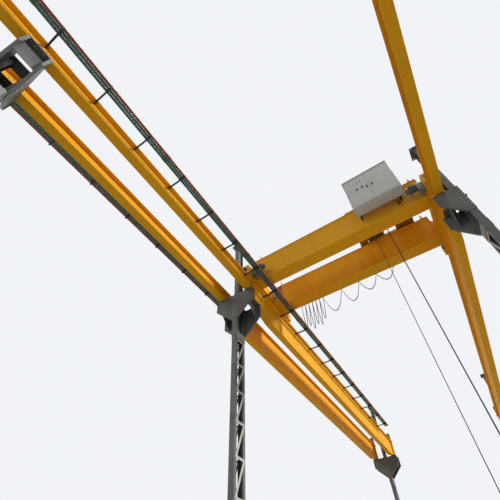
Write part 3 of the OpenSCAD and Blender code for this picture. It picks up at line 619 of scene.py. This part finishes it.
bars, grips = Shape(), Shape()
bar_rows = []
for beam, side in (("left_rail", 1), ("outer_rail", -1)):
    for k in range(3):
        x = RAILS[beam] + side * (BAR_OUT + k * BAR_PITCH)
        bar_rows.append(x)
        mark = 1 if k == 2 else 0
        bars.plate(SHROUD, (x, bar_low.y, bar_low.z), ACROSS, UP, (bar_high.y - bar_low.y) * ALONG, mark)
        if k == 2:
            edge = x + side * 0.0325
            bars.block((edge - 0.002, bar_low.y, bar_low.z + 0.002),
                       (edge + 0.002, bar_high.y, bar_low.z + 0.037), 2)
        for y in ARM_Y:
            cheeks(grips, x, y - 0.02, y + 0.02, -0.018, 0.020)
        for y in COUPLED:
            cheeks(bars, x, y + COUPLER_FROM, y + COUPLER_TO, 0.002, 0.040, mark)
piece("conductor_shrouds", bars, [GREEN, MAROON, CREAM], "runway", 0.0,
      ["conductor_bars"])
piece("bar_grips", grips, [DARK], "runway", 0.001)

# %% [markdown]
# ## Stops
# The stops at the runway's ends are bolted down through the beam's flange, four bolts each.

# %% Stop bolts
STOP_Y, STOP_T = 16.03, 0.016
stop_bolts = Shape()
for x in RAILS.values():
    for end in SIDES:
        for off in (-0.088, 0.088):
            for along in (0.08, 0.17):
                stop_bolts.bolt((x + off, end * (STOP_Y + along), BEAM_TOP + STOP_T), UP, 0.009)
piece("stop_bolts", stop_bolts, [BOLT], "runway")

# %% [markdown]
# ## Girders
# Each girder is a box welded from four plates. A bead runs along each corner, and butt welds cross
# the web. At the ends, knee plates tie the girder to its end carriage.

# %% Girders
BRIDGE_Y = middle("near_girder").y / 2 + middle("rear_girder").y / 2
GIRDER_X = middle("near_girder").x
girder_low, girder_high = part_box("near_girder")
HALF_X, HALF_WIDE, SKIN = girder_high.x - GIRDER_X, 0.2, 0.016
HALF_GAUGE, WEB_Y = 0.8, 1.0
GIRDERS = (BRIDGE_Y - HALF_GAUGE, BRIDGE_Y + HALF_GAUGE)
CARRIAGE_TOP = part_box("left_end_carriage")[1].z
KNEE = mm((0, 0), (240, 0), (240, 30), (30, 500), (0, 500))
girder_trim, knees = Shape(), Shape()
for y in GIRDERS:
    for side in SIDES:
        web = y + side * HALF_WIDE
        for z, up in ((girder_low.z + SKIN, 1), (girder_high.z - SKIN, -1)):
            girder_trim.plate(((0, 0), (side * 0.010, 0), (0, up * 0.010)),
                              (GIRDER_X - HALF_X + SKIN, web, z), ALONG, UP, 2 * (HALF_X - SKIN) * ACROSS)
        for x in (-1.55, 1.25):
            girder_trim.plate(((-0.007, 0), (-0.004, side * 0.0025), (0.004, side * 0.0025), (0.007, 0)),
                              (GIRDER_X + x, web, girder_low.z + SKIN), ACROSS, ALONG,
                              (girder_high.z - girder_low.z - 2 * SKIN) * UP)
    for end in SIDES:
        for off in (-0.17, 0.17):
            knees.plate(KNEE, (GIRDER_X + end * HALF_X, y + off - 0.006, CARRIAGE_TOP),
                        end * ACROSS, UP, 0.012 * ALONG)
piece("girder_welds", girder_trim, [YELLOW], "bridge")
piece("girder_knees", knees, [YELLOW], "bridge", 0.001)

# %% [markdown]
# ## Wheels, buffers and rail clips of the bridge
# A wheel's axle ends in a bearing cover with bolts, apart from the two where a travel drive sits.
# The buffers are rubber: a turned profile with two grooves, on a plate. Small clips hold the
# crab's rails.

# %% Bearing covers
AXLE_Z = middle("bridge_wheels").z
WHEEL_Y = [BRIDGE_Y + side * 1.25 for side in SIDES]
COVER = mm((85, 0), (85, 14), (66, 18), (66, 30), (58, 36))
covers, cover_bolts = Shape(), Shape()
for beam, driven in (("left_rail", 1), ("right_rail", -1)):
    for y in WHEEL_Y:
        for side in SIDES:
            if side == driven and y < BRIDGE_Y:
                continue
            place = Vector((RAILS[beam] + side * 0.15, y, AXLE_Z))
            covers.turned(place, side * ACROSS, COVER, 28)
            cover_bolts.bolt_ring(place + side * 0.014 * ACROSS, side * ACROSS, 0.076, 6, 0.0065, 0.5)
piece("bearing_covers", covers, [DRIVE], "bridge")
piece("cover_bolts", cover_bolts, [BOLT], "bridge")

# %% Buffers
BUFFER_Z, PLATE_HALF, PLATE_T = middle("bridge_buffers").z, 0.085, 0.012
BUFFER = mm((60, 12), (62, 20), (60, 30), (52, 36), (60, 42), (61, 54), (52, 60), (59, 66),
            (56, 80), (44, 89), (20, 90))
buffers = Shape()
for beam in ("left_rail", "right_rail"):
    for side in SIDES:
        place = Vector((RAILS[beam], BRIDGE_Y + side * 1.55, BUFFER_Z))
        buffers.block(place + Vector((-PLATE_HALF, min(0, side * PLATE_T), -PLATE_HALF)),
                      place + Vector((PLATE_HALF, max(0, side * PLATE_T), PLATE_HALF)), 1)
        buffers.turned(place, side * ALONG, BUFFER, 32)
piece("buffer_rubbers", buffers, [RUBBER, DRIVE], "bridge", 0.0, ["bridge_buffers"])

# %% Crab rail clips
SMALL_CLIP = mm((20.5, 0), (75, 0), (75, 10), (45, 13), (20.5, 22))
rail_clips = Shape()
for y in GIRDERS:
    for k in range(11):
        x = GIRDER_X - 2.6 + k * 0.52
        for side in SIDES:
            rail_clips.plate(SMALL_CLIP, (x - 0.025, y, girder_high.z), side * ALONG, UP, 0.05 * ACROSS)
            rail_clips.bolt((x, y + side * 0.058, girder_high.z + 0.0105), UP, 0.010)
piece("crab_rail_clips", rail_clips, [BOLT], "bridge")

# %% [markdown]
# ## Yellow stops on a grey rail
# The crab's rails and the stops at their ends are one node, but the stops are yellow. The mesh
# stays as it is: the finish tells them apart by how far they are from the bridge's middle.

# %% Track finish
track_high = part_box("crab_rails")[1]
STOP_FROM = track_high.x - GIRDER_X - 0.1205
g = Graph("crab_track")
g.shader.inputs["Specular IOR Level"].default_value = 0.35
worn = g.mix(g.ramp(g.noise(9, 5), 0.42, 0.66), (0.24, 0.23, 0.215, 1), (0.16, 0.095, 0.055, 1))
coat = g.mix(g.ramp(g.noise(4, 4), 0.4, 0.7), (0.86, 0.42, 0.014, 1), (0.70, 0.33, 0.015, 1))
out = g.calc("ABSOLUTE", g.calc("SUBTRACT", g.part_of(g.place, "X"), GIRDER_X))
at_stop = g.calc("GREATER_THAN", out, STOP_FROM)
g.bump(g.noise(60, 3), 0.08, 0.003)
nodes["crab_rails"].data.materials[0] = g.finish(g.mix(at_stop, worn, coat), 0.45)
print("stops start", round(STOP_FROM, 3), "m from the middle")

# %% [markdown]
# ## Motors
# The drives' motors have what every such motor has: cooling fins, a fan cowl with a ring grille,
# and a terminal box whose cable comes out through a gland. The fins leave room for the box.

# %% Motor trim
FIN_PITCH = 0.022


def motor_trim(shape, start, axis, radius, length, fin=0.013):
    w = Vector(axis)
    side = w.cross(UP)
    outline = ((0, -0.003), (length, -0.003), (length, fin * 0.7), (length - 0.01, fin), (0.01, fin),
               (0, fin * 0.7))
    for t in circle(int(2 * math.pi * radius / FIN_PITCH)):
        if math.cos(t) > 0.72:
            continue
        out = spoke(UP, side, t)
        thick = w.cross(out) * 0.003
        shape.plate(outline, Vector(start) + out * radius - thick / 2, w, out, thick)


def grille(shape, centre, axis, radius):
    u, v, w = frame_of(axis)
    centre = Vector(centre)
    for r in (0.3, 0.5, 0.7, 0.9):
        ring = circle(24) + [2 * math.pi]
        shape.tube([centre + w * 0.003 + spoke(u, v, t) * r * radius for t in ring], 0.004, 6)
    for k in range(4):
        arm = spoke(u, v, math.pi * k / 4) * radius * 0.95
        shape.tube([centre + w * 0.004 - arm, centre + w * 0.004 + arm], 0.004, 6)


def gland(shape, centre, axis, size):
    shape.turned(centre, axis, ((size, 0), (size, 0.4 * size), (size * 0.9, 0.5 * size)), 6)
    neck = ((size * 0.8, 0.5 * size), (size * 0.8, 1.1 * size), (size * 0.6, 1.5 * size))
    shape.turned(centre, axis, neck, 14)


# %% Travel drives
drive_low, drive_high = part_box("travel_drives")
DRIVE_UP, DRIVE_R = 0.225, 0.095
NEAR_WEB = BRIDGE_Y - WEB_Y
drive_trim, drive_bolts, drive_cables = Shape(), Shape(), Shape()
for end, side in ((drive_low.x, 1), (drive_high.x, -1)):
    inward, box_x, web_x, web_y = side * ACROSS, side * 0.26, side * 0.32, NEAR_WEB - WHEEL_Y[0]
    for shape in (drive_trim, drive_bolts, drive_cables):
        shape.origin = Vector((end, WHEEL_Y[0], AXLE_Z + DRIVE_UP))
    motor_trim(drive_trim, (side * 0.145, 0, 0), inward, DRIVE_R, 0.23)
    grille(drive_trim, (side * 0.44, 0, 0), inward, DRIVE_R)
    drive_trim.turned((side * 0.14, 0, 0), inward, mm((112, 0), (112, 12), (104, 14)), 28)
    drive_trim.block((box_x - 0.064, -0.064, 0.146), (box_x + 0.064, 0.064, 0.158))
    for t in circle(10):
        drop = 0 if math.sin(t) > 0 else DRIVE_UP
        drive_bolts.bolt((side * 0.14, 0.098 * math.cos(t), 0.098 * math.sin(t) - drop), inward, 0.008)
    gland(drive_trim, (box_x, 0.06, 0.115), ALONG, 0.014)
    drive_cables.cable([(box_x, 0.075, 0.115), (box_x, 0.13, 0.110), (side * 0.27, 0.17, 0.06),
                        (side * 0.30, web_y - 0.05, 0.02), (web_x, web_y + 0.002, 0.02)], 0.008)
    gland(drive_trim, (web_x, web_y, 0.02), -ALONG, 0.014)
piece("travel_drive_trim", drive_trim, [DRIVE], "bridge")
piece("travel_drive_bolts", drive_bolts, [BOLT], "bridge")
piece("travel_drive_cables", drive_cables, [SHEATH], "bridge")

# %% [markdown]
# ## The control panel
# A steel cabinet with two doors. Each door has three hinges and a handle on a plate; the left one
# also has two rotary switches and three pilot lamps. Cables leave through glands in its floor and
# turn back into the girder.

# %% Control panel
WIDE, TALL, TRIM = 1.5, 1.7, 0.007
HINGE = mm((9, 0), (10, 3), (10, 77), (9, 80))
HANDLE = mm((0, 0), (22, 0), (30, 30), (20, 130), (12, 140), (0, 130))
SWITCH = mm((42, 0), (42, 6), (30, 8), (28, 22), (24, 25))
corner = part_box("control_panel")[0] + Vector((0.012, 0.015, 0))
doors, fittings, lamps, leads = (Shape(corner) for k in range(4))
for k in range(2):
    x0 = 0.008 + k * WIDE / 2
    x1 = x0 + WIDE / 2 - 0.014
    u0, u1, z0, z1 = x0 + 0.03, x1 - 0.03, 0.055, TALL - 0.055
    for low, high in (((u0, z0), (u1, z0 + TRIM)), ((u0, z1 - TRIM), (u1, z1)),
                      ((u0, z0), (u0 + TRIM, z1)), ((u1 - TRIM, z0), (u1, z1))):
        doors.block((low[0], -0.003, low[1]), (high[0], 0.002, high[1]))
    hinge, grip = (x0 - 0.002, x1 - 0.075) if k == 0 else (x1 + 0.002, x0 + 0.075)
    for z in (0.16, 0.81, 1.46):
        doors.turned((hinge, -0.006, z), UP, HINGE, 12)
    fittings.block((grip - 0.02, -0.006, 0.76), (grip + 0.02, 0.001, 0.94))
    fittings.plate(HANDLE, (grip - 0.011, -0.006, 0.78), -ALONG, UP, 0.022 * ACROSS)
for x in (0.36, 0.53):
    fittings.turned((x, 0, 0.93), -ALONG, SWITCH, 24)
    fittings.block((x - 0.006, -0.040, 0.903), (x + 0.006, -0.020, 0.957))
for k, x in enumerate((0.33, 0.44, 0.55)):
    fittings.turned((x, 0, 1.32), -ALONG, mm((17, 0), (17, 6), (13, 8)), 18)
    lamps.turned((x, 0, 1.32), -ALONG, mm((12, 6), (12, 14), (9, 20), (4, 22)), 18, k % 2)
lead_y = BRIDGE_Y - 1.10 - corner.y
for x in (1.22, 1.252, 1.284):
    gland(fittings, (x, lead_y, 0), -UP, 0.015)
    leads.cable([(x, lead_y, -0.018), (x, lead_y, -0.05), (x + 0.01, lead_y + 0.02, -0.075),
                 (x + 0.02, lead_y + 0.06, -0.085), (x + 0.02, lead_y + 0.102, -0.085)], 0.009)
    gland(fittings, (x + 0.02, lead_y + 0.10, -0.085), -ALONG, 0.015)
piece("panel_door_edges", doors, [PANEL], "bridge", 0.001)
piece("panel_fittings", fittings, [DARK], "bridge", 0.001)
piece("panel_lamps", lamps, [LAMP_GREEN, LAMP_RED], "bridge")
piece("panel_leads", leads, [SHEATH], "bridge")

# %% [markdown]
# ## The hanging cables
# The crab's cables hang in loops from small trolleys on a track. The CAD model has one round cable
# there; the real one is a pair held side by side, so two tubes along the same route replace it.
# Each trolley gets a saddle plate on either side, with two bolts.

# %% Cable loops
festoon_low, festoon_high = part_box("festoon_trolleys")
TRACK_Y = (festoon_low.y + festoon_high.y) / 2
HOLD_Z = festoon_low.z - 0.014
FIRST = festoon_low.x + 0.035
HANGERS = [FIRST + 0.15 * k for k in range(7)] + [FIRST + 0.9 + s for s in (0.75, 1.43, 2.08, 2.70)]
DROPS = (1.25, 1.12, 1.33, 1.18, 1.28, 1.06, 0.90, 0.80, 0.60, 0.48)
LOOP_STEPS, SADDLE_T = 18, 0.004
SADDLE = mm((-26, -14), (26, -14), (34, 12), (34, 50), (-34, 50), (-34, 12))
loops, saddles = Shape(), Shape()
for side in SIDES:
    y, path = TRACK_Y + side * 0.0095, []
    for start, end, drop in zip(HANGERS, HANGERS[1:], DROPS):
        for t in (j / LOOP_STEPS for j in range(LOOP_STEPS)):
            path.append((start + t * (end - start), y, HOLD_Z - drop * 4 * t * (1 - t)))
    loops.tube(path + [(HANGERS[-1], y, HOLD_Z)], 0.0088)
for x in HANGERS:
    for off in (-0.0265, 0.0225):
        saddles.plate(SADDLE, (x, TRACK_Y + off, HOLD_Z + 0.006), ACROSS, UP, SADDLE_T * ALONG)
    for off in (-0.02, 0.02):
        for side in SIDES:
            saddles.bolt((x + off, TRACK_Y + side * 0.0265, HOLD_Z + 0.035), side * ALONG, 0.006)
piece("cable_loops", loops, [SHEATH], "bridge", 0.0, ["festoon_cable"])
piece("cable_saddles", saddles, [DARK], "bridge")

# %% [markdown]
# ## The current collector
# Three spring arms press shoes on the conductor bars. A lead runs from each shoe up to a junction
# box on the end carriage, and a coil spring stands on each arm.

# %% Collector leads
collector_low, collector_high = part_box("current_collector")
BOX_X, BOX_Y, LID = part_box("left_end_carriage")[1].x, 0.22, 0.004
origin = Vector((BOX_X, BRIDGE_Y, CARRIAGE_TOP))
z = collector_low.z + 0.024 - CARRIAGE_TOP
spring_top = collector_high.z - 0.05 - CARRIAGE_TOP
shoe_leads, junction, springs = Shape(origin), Shape(origin), Shape(origin)
junction.block((0, BOX_Y - 0.09, -0.24), (0.10, BOX_Y + 0.09, -0.04))
junction.block((0.10, BOX_Y - 0.09 - LID, -0.24 - LID), (0.108, BOX_Y + 0.09 + LID, -0.04 + LID))
for k in range(3):
    x, exit_x, exit_y = bar_rows[k] - BOX_X, 0.03 + k * 0.022, BOX_Y - 0.05
    gland(junction, (exit_x, exit_y, -0.24), -UP, 0.009)
    shoe_leads.cable([(x, 0.10, z), (x, 0.12, z + 0.05), (x - 0.06, 0.16, z + 0.05),
                      (exit_x, exit_y, -0.32), (exit_x, exit_y, -0.25)], 0.005, 8)
    coil = [(x + 0.010 * math.cos(0.7 * i), 0.010 * math.sin(0.7 * i), z + 0.002 + i * 0.0022)
            for i in range(100)]
    springs.tube([p for p in coil if p[2] < spring_top], 0.0025, 6)
piece("collector_leads", shoe_leads, [SHEATH], "bridge")
piece("junction_box", junction, [PANEL], "bridge", 0.001)
piece("collector_springs", springs, [BOLT], "bridge")

# %% [markdown]
# ## The crab
# The crab carries the hoist: a grooved drum, a gearbox and a motor. The rope lies on the drum in a
# helix that starts where each fall leaves it. Bearing covers, gearbox bolts, deck stiffeners and
# the motor's trim give the rest its scale.

# %% Rope on the drum
ROPE_R, FALL_Y, COIL_R, COIL_PITCH = 0.009, 0.09, 0.1845, 0.03
TURNS, TURN_STEPS = 9, 56
rope_low, rope_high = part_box("ropes")
DRUM_Z, DRUM_X = rope_high.z, rope_low.x + ROPE_R + 0.180 + ROPE_R + 0.001
turns = Shape((DRUM_X, BRIDGE_Y, DRUM_Z))
for side in SIDES:
    helix = []
    for i in range(TURNS * TURN_STEPS + 1):
        t, y = math.pi - 2 * math.pi * i / TURN_STEPS, FALL_Y + COIL_PITCH * i / TURN_STEPS
        helix.append((COIL_R * math.cos(t), side * y, COIL_R * math.sin(t)))
    turns.rope(helix, ROPE_R, 3.0)
piece("drum_rope", turns, [ROPE], "crab")

# %% Hoist details
CRAB_X, SIDE_TOP = middle("crab_wheels").x, DRUM_Z - 0.1
motor_low, motor_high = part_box("hoist_motor")
MOTOR_X, MOTOR_UP, MOTOR_R = (motor_low.x + motor_high.x) / 2 - CRAB_X, 0.145, 0.12
DRUM_OFF, DRUM_UP, GEAR_Y, TOW_X = DRUM_X - CRAB_X, 0.1, 0.49, HANGERS[-1] - CRAB_X
box_top = motor_high.z - SIDE_TOP
exit_y, exit_z, deck_z, low_z = GEAR_Y - 0.31, box_top - 0.035, 0.012, -0.118
crab_at = Vector((CRAB_X, BRIDGE_Y, SIDE_TOP))
hoist_trim, crab_bolts, crab_cables = Shape(crab_at), Shape(crab_at), Shape(crab_at)
motor_trim(hoist_trim, (MOTOR_X, GEAR_Y - 0.03, MOTOR_UP), -ALONG, MOTOR_R, 0.46, 0.015)
grille(hoist_trim, (MOTOR_X, GEAR_Y - 0.60, MOTOR_UP), -ALONG, MOTOR_R)
for place, axis, profile, sides in (
        ((MOTOR_X, GEAR_Y, MOTOR_UP), -ALONG, mm((150, 0), (150, 14), (140, 18)), 32),
        ((MOTOR_X, GEAR_Y - 0.52, MOTOR_UP), -ALONG, mm((134, -8), (134, 8), (129, 12)), 32),
        ((DRUM_OFF, GEAR_Y, DRUM_UP), -ALONG, mm((95, 0), (95, 18), (75, 26)), 28),
        ((DRUM_OFF, -0.645, DRUM_UP), ALONG, mm((85, 0), (85, 20), (60, 30)), 28)):
    hoist_trim.turned(place, axis, profile, sides)
hoist_trim.block((MOTOR_X - 0.075, exit_y - 0.095, box_top - 0.012),
                 (MOTOR_X + 0.075, exit_y + 0.095, box_top + 0.004))
crab_bolts.bolt_ring((MOTOR_X, GEAR_Y - 0.014, MOTOR_UP), -ALONG, 0.134, 12, 0.009)
crab_bolts.bolt_ring((DRUM_OFF, GEAR_Y, DRUM_UP), -ALONG, 0.150, 12, 0.009)
gland(hoist_trim, (MOTOR_X - 0.07, exit_y, exit_z), -ACROSS, 0.014)
crab_cables.cable([(MOTOR_X - 0.085, exit_y, exit_z), (MOTOR_X - 0.13, exit_y, exit_z - 0.005),
                   (MOTOR_X - 0.19, GEAR_Y - 0.29, 0.10), (MOTOR_X - 0.19, GEAR_Y - 0.2, deck_z),
                   (MOTOR_X - 0.10, 0.62, deck_z), (TOW_X - 0.03, 0.78, deck_z), (TOW_X, 0.865, deck_z),
                   (TOW_X, 0.885, -0.05), (TOW_X, 0.92, low_z), (TOW_X, 1.20, low_z)], 0.010)
piece("hoist_trim", hoist_trim, [DRIVE], "crab")
piece("crab_cable", crab_cables, [SHEATH], "crab")

# %% Crab frame details
CRAB_COVER = mm((58, 0), (58, 12), (45, 16), (45, 26), (38, 30))
crab_trim, crab_covers, ribs = Shape(crab_at), Shape(crab_at), Shape(crab_at)
axle_z, deck_z = middle("crab_wheels").z - SIDE_TOP, -0.1
for x, side in ((-0.7, -1), (-0.7, 1), (0.7, 1)):
    place = Vector((x, side * 0.865, axle_z))
    crab_covers.turned(place, side * ALONG, CRAB_COVER, 24)
    crab_bolts.bolt_ring(place + side * 0.012 * ALONG, side * ALONG, 0.050, 4, 0.0055, 0.5)
for x0, long in ((-0.968, 0.288), (0.355, 0.613)):
    outline = ((0, 0), (long, 0), (long, -0.03), (long - 0.03, -0.06), (0.03, -0.06), (0, -0.03))
    for k in range(5):
        ribs.plate(outline, (x0, -0.604 + k * 0.3, deck_z), ACROSS, UP, 0.008 * ALONG)
crab_trim.block((0.62, -0.32, deck_z + 0.01), (0.86, 0.16, deck_z + 0.34))
crab_trim.block((0.612, -0.30, deck_z + 0.03), (0.62, 0.14, deck_z + 0.32))
for side in SIDES:
    for x in (-0.58, 0.55, 0.10):
        for off in (-0.035, 0.035):
            crab_bolts.bolt((x + off, side * HALF_GAUGE, 0), UP, 0.012)
piece("crab_bolts", crab_bolts, [BOLT], "crab")
piece("crab_bearing_covers", crab_covers, [DRIVE], "crab")
piece("deck_ribs", ribs, [CRAB_YELLOW_SHADED], "crab", 0.001)
piece("brake_cabinet", crab_trim, [PANEL], "crab", 0.004)

# %% [markdown]
# ## Hoist ropes
# Four falls of rope hang from the drum and the equalizer sheave to the hook block. A rope's
# section is a flower of five lobes, its strands, that turns on its way down.

# %% Hoist ropes
BLOCK_Z, FALL_STEPS, LAY = rope_low.z, 1200, 8.0
falls = Shape()
for x in (rope_low.x + ROPE_R, rope_high.x - ROPE_R):
    for y in (rope_low.y + ROPE_R, rope_high.y - ROPE_R):
        falls.rope([(x, y, BLOCK_Z + (DRUM_Z - BLOCK_Z) * i / FALL_STEPS) for i in range(FALL_STEPS + 1)],
                   ROPE_R, LAY)
rope_piece = piece("hoist_ropes", falls, [ROPE], None, 0.0, ["ropes"])
rope_x, rope_y = (rope_low.x + rope_high.x) / 2, (rope_low.y + rope_high.y) / 2
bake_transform(rope_piece)

# %% [markdown]
# ## Hook block
# The block has two sheaves between cheek plates. A bent guard keeps the ropes in their grooves,
# and keeper plates with bolts hold the axle.

# %% Rope round the sheaves
SHEAVE_R, SHEAVE_STEPS = 0.225, 80
block_at = Vector((rope_x, BRIDGE_Y, BLOCK_Z))
block_turns = Shape(block_at)
for y in (-FALL_Y, FALL_Y):
    half = [math.pi + math.pi * i / SHEAVE_STEPS for i in range(SHEAVE_STEPS + 1)]
    block_turns.rope([(SHEAVE_R * math.cos(t), y, SHEAVE_R * math.sin(t)) for t in half], ROPE_R, LAY)
piece("sheave_rope", block_turns, [ROPE], "hook", 0.0, ["block_rope"])

# %% Block details
CHEEK_Y, KEEPER_T = 0.128, 0.008
GUARD = mm((250, -115.5), (256, -115.5), (256, 115.5), (250, 115.5))
KEEPER = mm((-60, 0), (60, 0), (60, 32), (-60, 32))
guard, keepers = Shape(block_at), Shape(block_at)
guard.skin([[(r * math.cos(t), y, r * math.sin(t)) for r, y in GUARD]
            for t in (math.radians(200 + 5 * i) for i in range(29))])
for side in SIDES:
    face = side * CHEEK_Y
    for low, bolt_z in ((-0.068, -0.052), (0.036, 0.052)):
        keepers.plate(KEEPER, (0, face, low), ACROSS, UP, side * KEEPER_T * ALONG)
        for x in (-0.042, 0.042):
            keepers.bolt((x, face + side * KEEPER_T, bolt_z), side * ALONG, 0.008)
    for off, z, size in ((0.17, -0.21, 0.013), (0.08, -0.315, 0.011), (0.08, -0.355, 0.011)):
        for x in (-off, off):
            keepers.bolt((x, face, z), side * ALONG, size)
piece("sheave_guard", guard, [YELLOW], "hook")
piece("block_bolts", keepers, [BOLT], "hook")

# %% [markdown]
# ## The forged hook
# A forged hook is thickest where it bends under the load, thin at its tip, and oval in section.
# The CAD hook has one even thickness, so a swept shape replaces it. Its middle line goes down the
# shank, round the bowl and up to the tip. Each row gives a point on it, across and up from the
# bowl's centre, then the radius and how flat the section is. A spring latch closes its mouth.

# %% Forged hook
HOOK_DOWN, HOOK_SIDES = 0.68, 20
SPINE = ((0, 0.450, 0.0339, 1), (0, 0.20, 0.0339, 1), (0, 0.165, 0.038, 1), (-0.010, 0.138, 0.044, 0.92),
         (-0.040, 0.118, 0.046, 0.85), (-0.078, 0.088, 0.044, 0.8), (-0.104, 0.045, 0.042, 0.78),
         (-0.113, 0, 0.042, 0.76), (-0.104, -0.045, 0.043, 0.76), (-0.076, -0.084, 0.045, 0.76),
         (-0.035, -0.108, 0.046, 0.76), (0.010, -0.112, 0.045, 0.76), (0.052, -0.099, 0.042, 0.78),
         (0.086, -0.070, 0.038, 0.8), (0.106, -0.030, 0.033, 0.84), (0.115, 0.010, 0.027, 0.9),
         (0.122, 0.040, 0.020, 0.95), (0.130, 0.060, 0.010, 1))
hook_at = block_at - HOOK_DOWN * UP
line = curve_through([(x, 0, z) for x, z, r, flat in SPINE], 5)
sizes = curve_through([(r, flat, 0) for x, z, r, flat in SPINE], 5)
forged, rings = Shape(hook_at), []
for i, p in enumerate(line):
    ahead = (line[min(i + 1, len(line) - 1)] - line[max(i - 1, 0)]).normalized()
    out, r, flat = ahead.cross(ALONG), sizes[i].x, sizes[i].y
    rings.append([p + spoke(out, ALONG * flat, t) * r for t in circle(HOOK_SIDES)])
forged.skin(rings)
forged.turned((0, 0, 0.39), UP, mm((52, 0), (60, 4), (60, 41), (53, 45)), 6, 1)
forged.turned((0, 0, 0.30), -UP, mm((62, 0), (62, 14), (48, 22)), 28, 1)
piece("forged_hook", forged, [DARK, BOLT], "hook", 0.0, ["hook"])

# %% Safety latch
LATCH_T = 0.003
latch = Shape(hook_at + Vector((0.036, 0, 0.135)))
for y in (-0.034, 0.034):
    latch.plate(mm((-12, 12), (4, 16), (88, -72), (80, -84), (-10, -6)), (0, y - LATCH_T / 2, 0),
                ACROSS, UP, LATCH_T * ALONG)
latch.plate(mm((30, -12), (34, -8), (86, -66), (82, -70)), (0, -0.034, 0), ACROSS, UP, 0.068 * ALONG)
latch.turned((0, -0.042, LATCH_T), ALONG, mm((7, 0), (7, 84)), 12)
piece("hook_latch", latch, [BOLT], "hook")

# %% [markdown]
# ## Floor and light
# The object stands in a plain pale studio. The sky looks pale to the camera and in reflections,
# but gives the crane little light, so that its undersides stay as deep as under a real roof. Three
# suns with wide soft edges light it: one low on the side of the right-hand columns, one overhead
# and a weak one behind the camera. A ray that bounces down to the floor finds an even warm glow in
# place of the shadows there, which lights the undersides of the beams without speckle.

# %% Floor
FLOOR_LIGHT = (0.40, 0.375, 0.34, 1)
bpy.ops.mesh.primitive_plane_add(size=600, location=(0, 0, -0.002))
floor = bpy.context.object
floor.name = "floor"
g = Graph("floor_pale")
cloud = g.mix(g.ramp(g.noise(0.15, 3), 0.3, 0.7), (0.62, 0.615, 0.60, 1), (0.585, 0.58, 0.565, 1))
floor.data.materials.append(g.finish(cloud, 0.8))
glow, either = g.add("ShaderNodeEmission"), g.add("ShaderNodeMixShader")
glow.inputs["Color"].default_value = FLOOR_LIGHT
bounced = g.add("ShaderNodeLightPath").outputs["Is Diffuse Ray"]
for socket, value in zip(either.inputs, (bounced, g.shader.outputs[0], glow.outputs[0])):
    g.put(socket, value)
g.put(g.tree.nodes["Material Output"].inputs["Surface"], either.outputs[0])
floor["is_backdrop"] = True
print("light from the floor:", FLOOR_LIGHT[:3])

# %% Sky
SKY_SEEN, SKY_LIGHT = 0.93, 0.27
world = bpy.data.worlds.new("sky")
scene.world = world
world.use_nodes = True
tree = world.node_tree
back, path = tree.nodes["Background"], tree.nodes.new("ShaderNodeLightPath")
seen = path.outputs["Is Camera Ray"]
for other in ("Is Glossy Ray", "Is Transmission Ray"):
    either = tree.nodes.new("ShaderNodeMath")
    either.operation = "MAXIMUM"
    tree.links.new(seen, either.inputs[0])
    tree.links.new(path.outputs[other], either.inputs[1])
    seen = either.outputs[0]
level = tree.nodes.new("ShaderNodeMapRange")
level.inputs["To Min"].default_value, level.inputs["To Max"].default_value = SKY_LIGHT, SKY_SEEN
tree.links.new(seen, level.inputs["Value"])
tree.links.new(level.outputs["Result"], back.inputs["Strength"])
back.inputs["Color"].default_value = (0.95, 0.97, 1.0, 1)
print("sky seen at", SKY_SEEN, "and lighting at", SKY_LIGHT)

# %% Lamps
LAMPS = (("sun_side", (0.84, 0.30, 0.44), 2.8, 12), ("sun_top", (0.10, 0.05, 1.0), 1.7, 30),
         ("sun_fill", (-0.55, -0.70, 0.46), 0.6, 25))
for name, toward, power, angle in LAMPS:
    light = bpy.data.lights.new(name, "SUN")
    light.energy, light.angle = power, math.radians(angle)
    lamp = bpy.data.objects.new(name, light)
    lamp.location = Vector(toward) * 40
    lamp.rotation_euler = Vector(toward).to_track_quat("Z", "Y").to_euler()
    scene.collection.objects.link(lamp)
print("lamps:", [row[0] for row in LAMPS])

# %% [markdown]
# ## Size
# Fittings must not make the object larger than its CAD model, so the box before and the box after
# are kept side by side.

# %% Box of the finished object
end_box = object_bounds()
grown = [round(max(abs(a - b) for a, b in zip(p, q)) * 1000, 1) for p, q in zip(start_box, end_box)]
print("box grew by", grown, "mm")
print(len(made), "pieces,", sum(made.values()), "triangles")
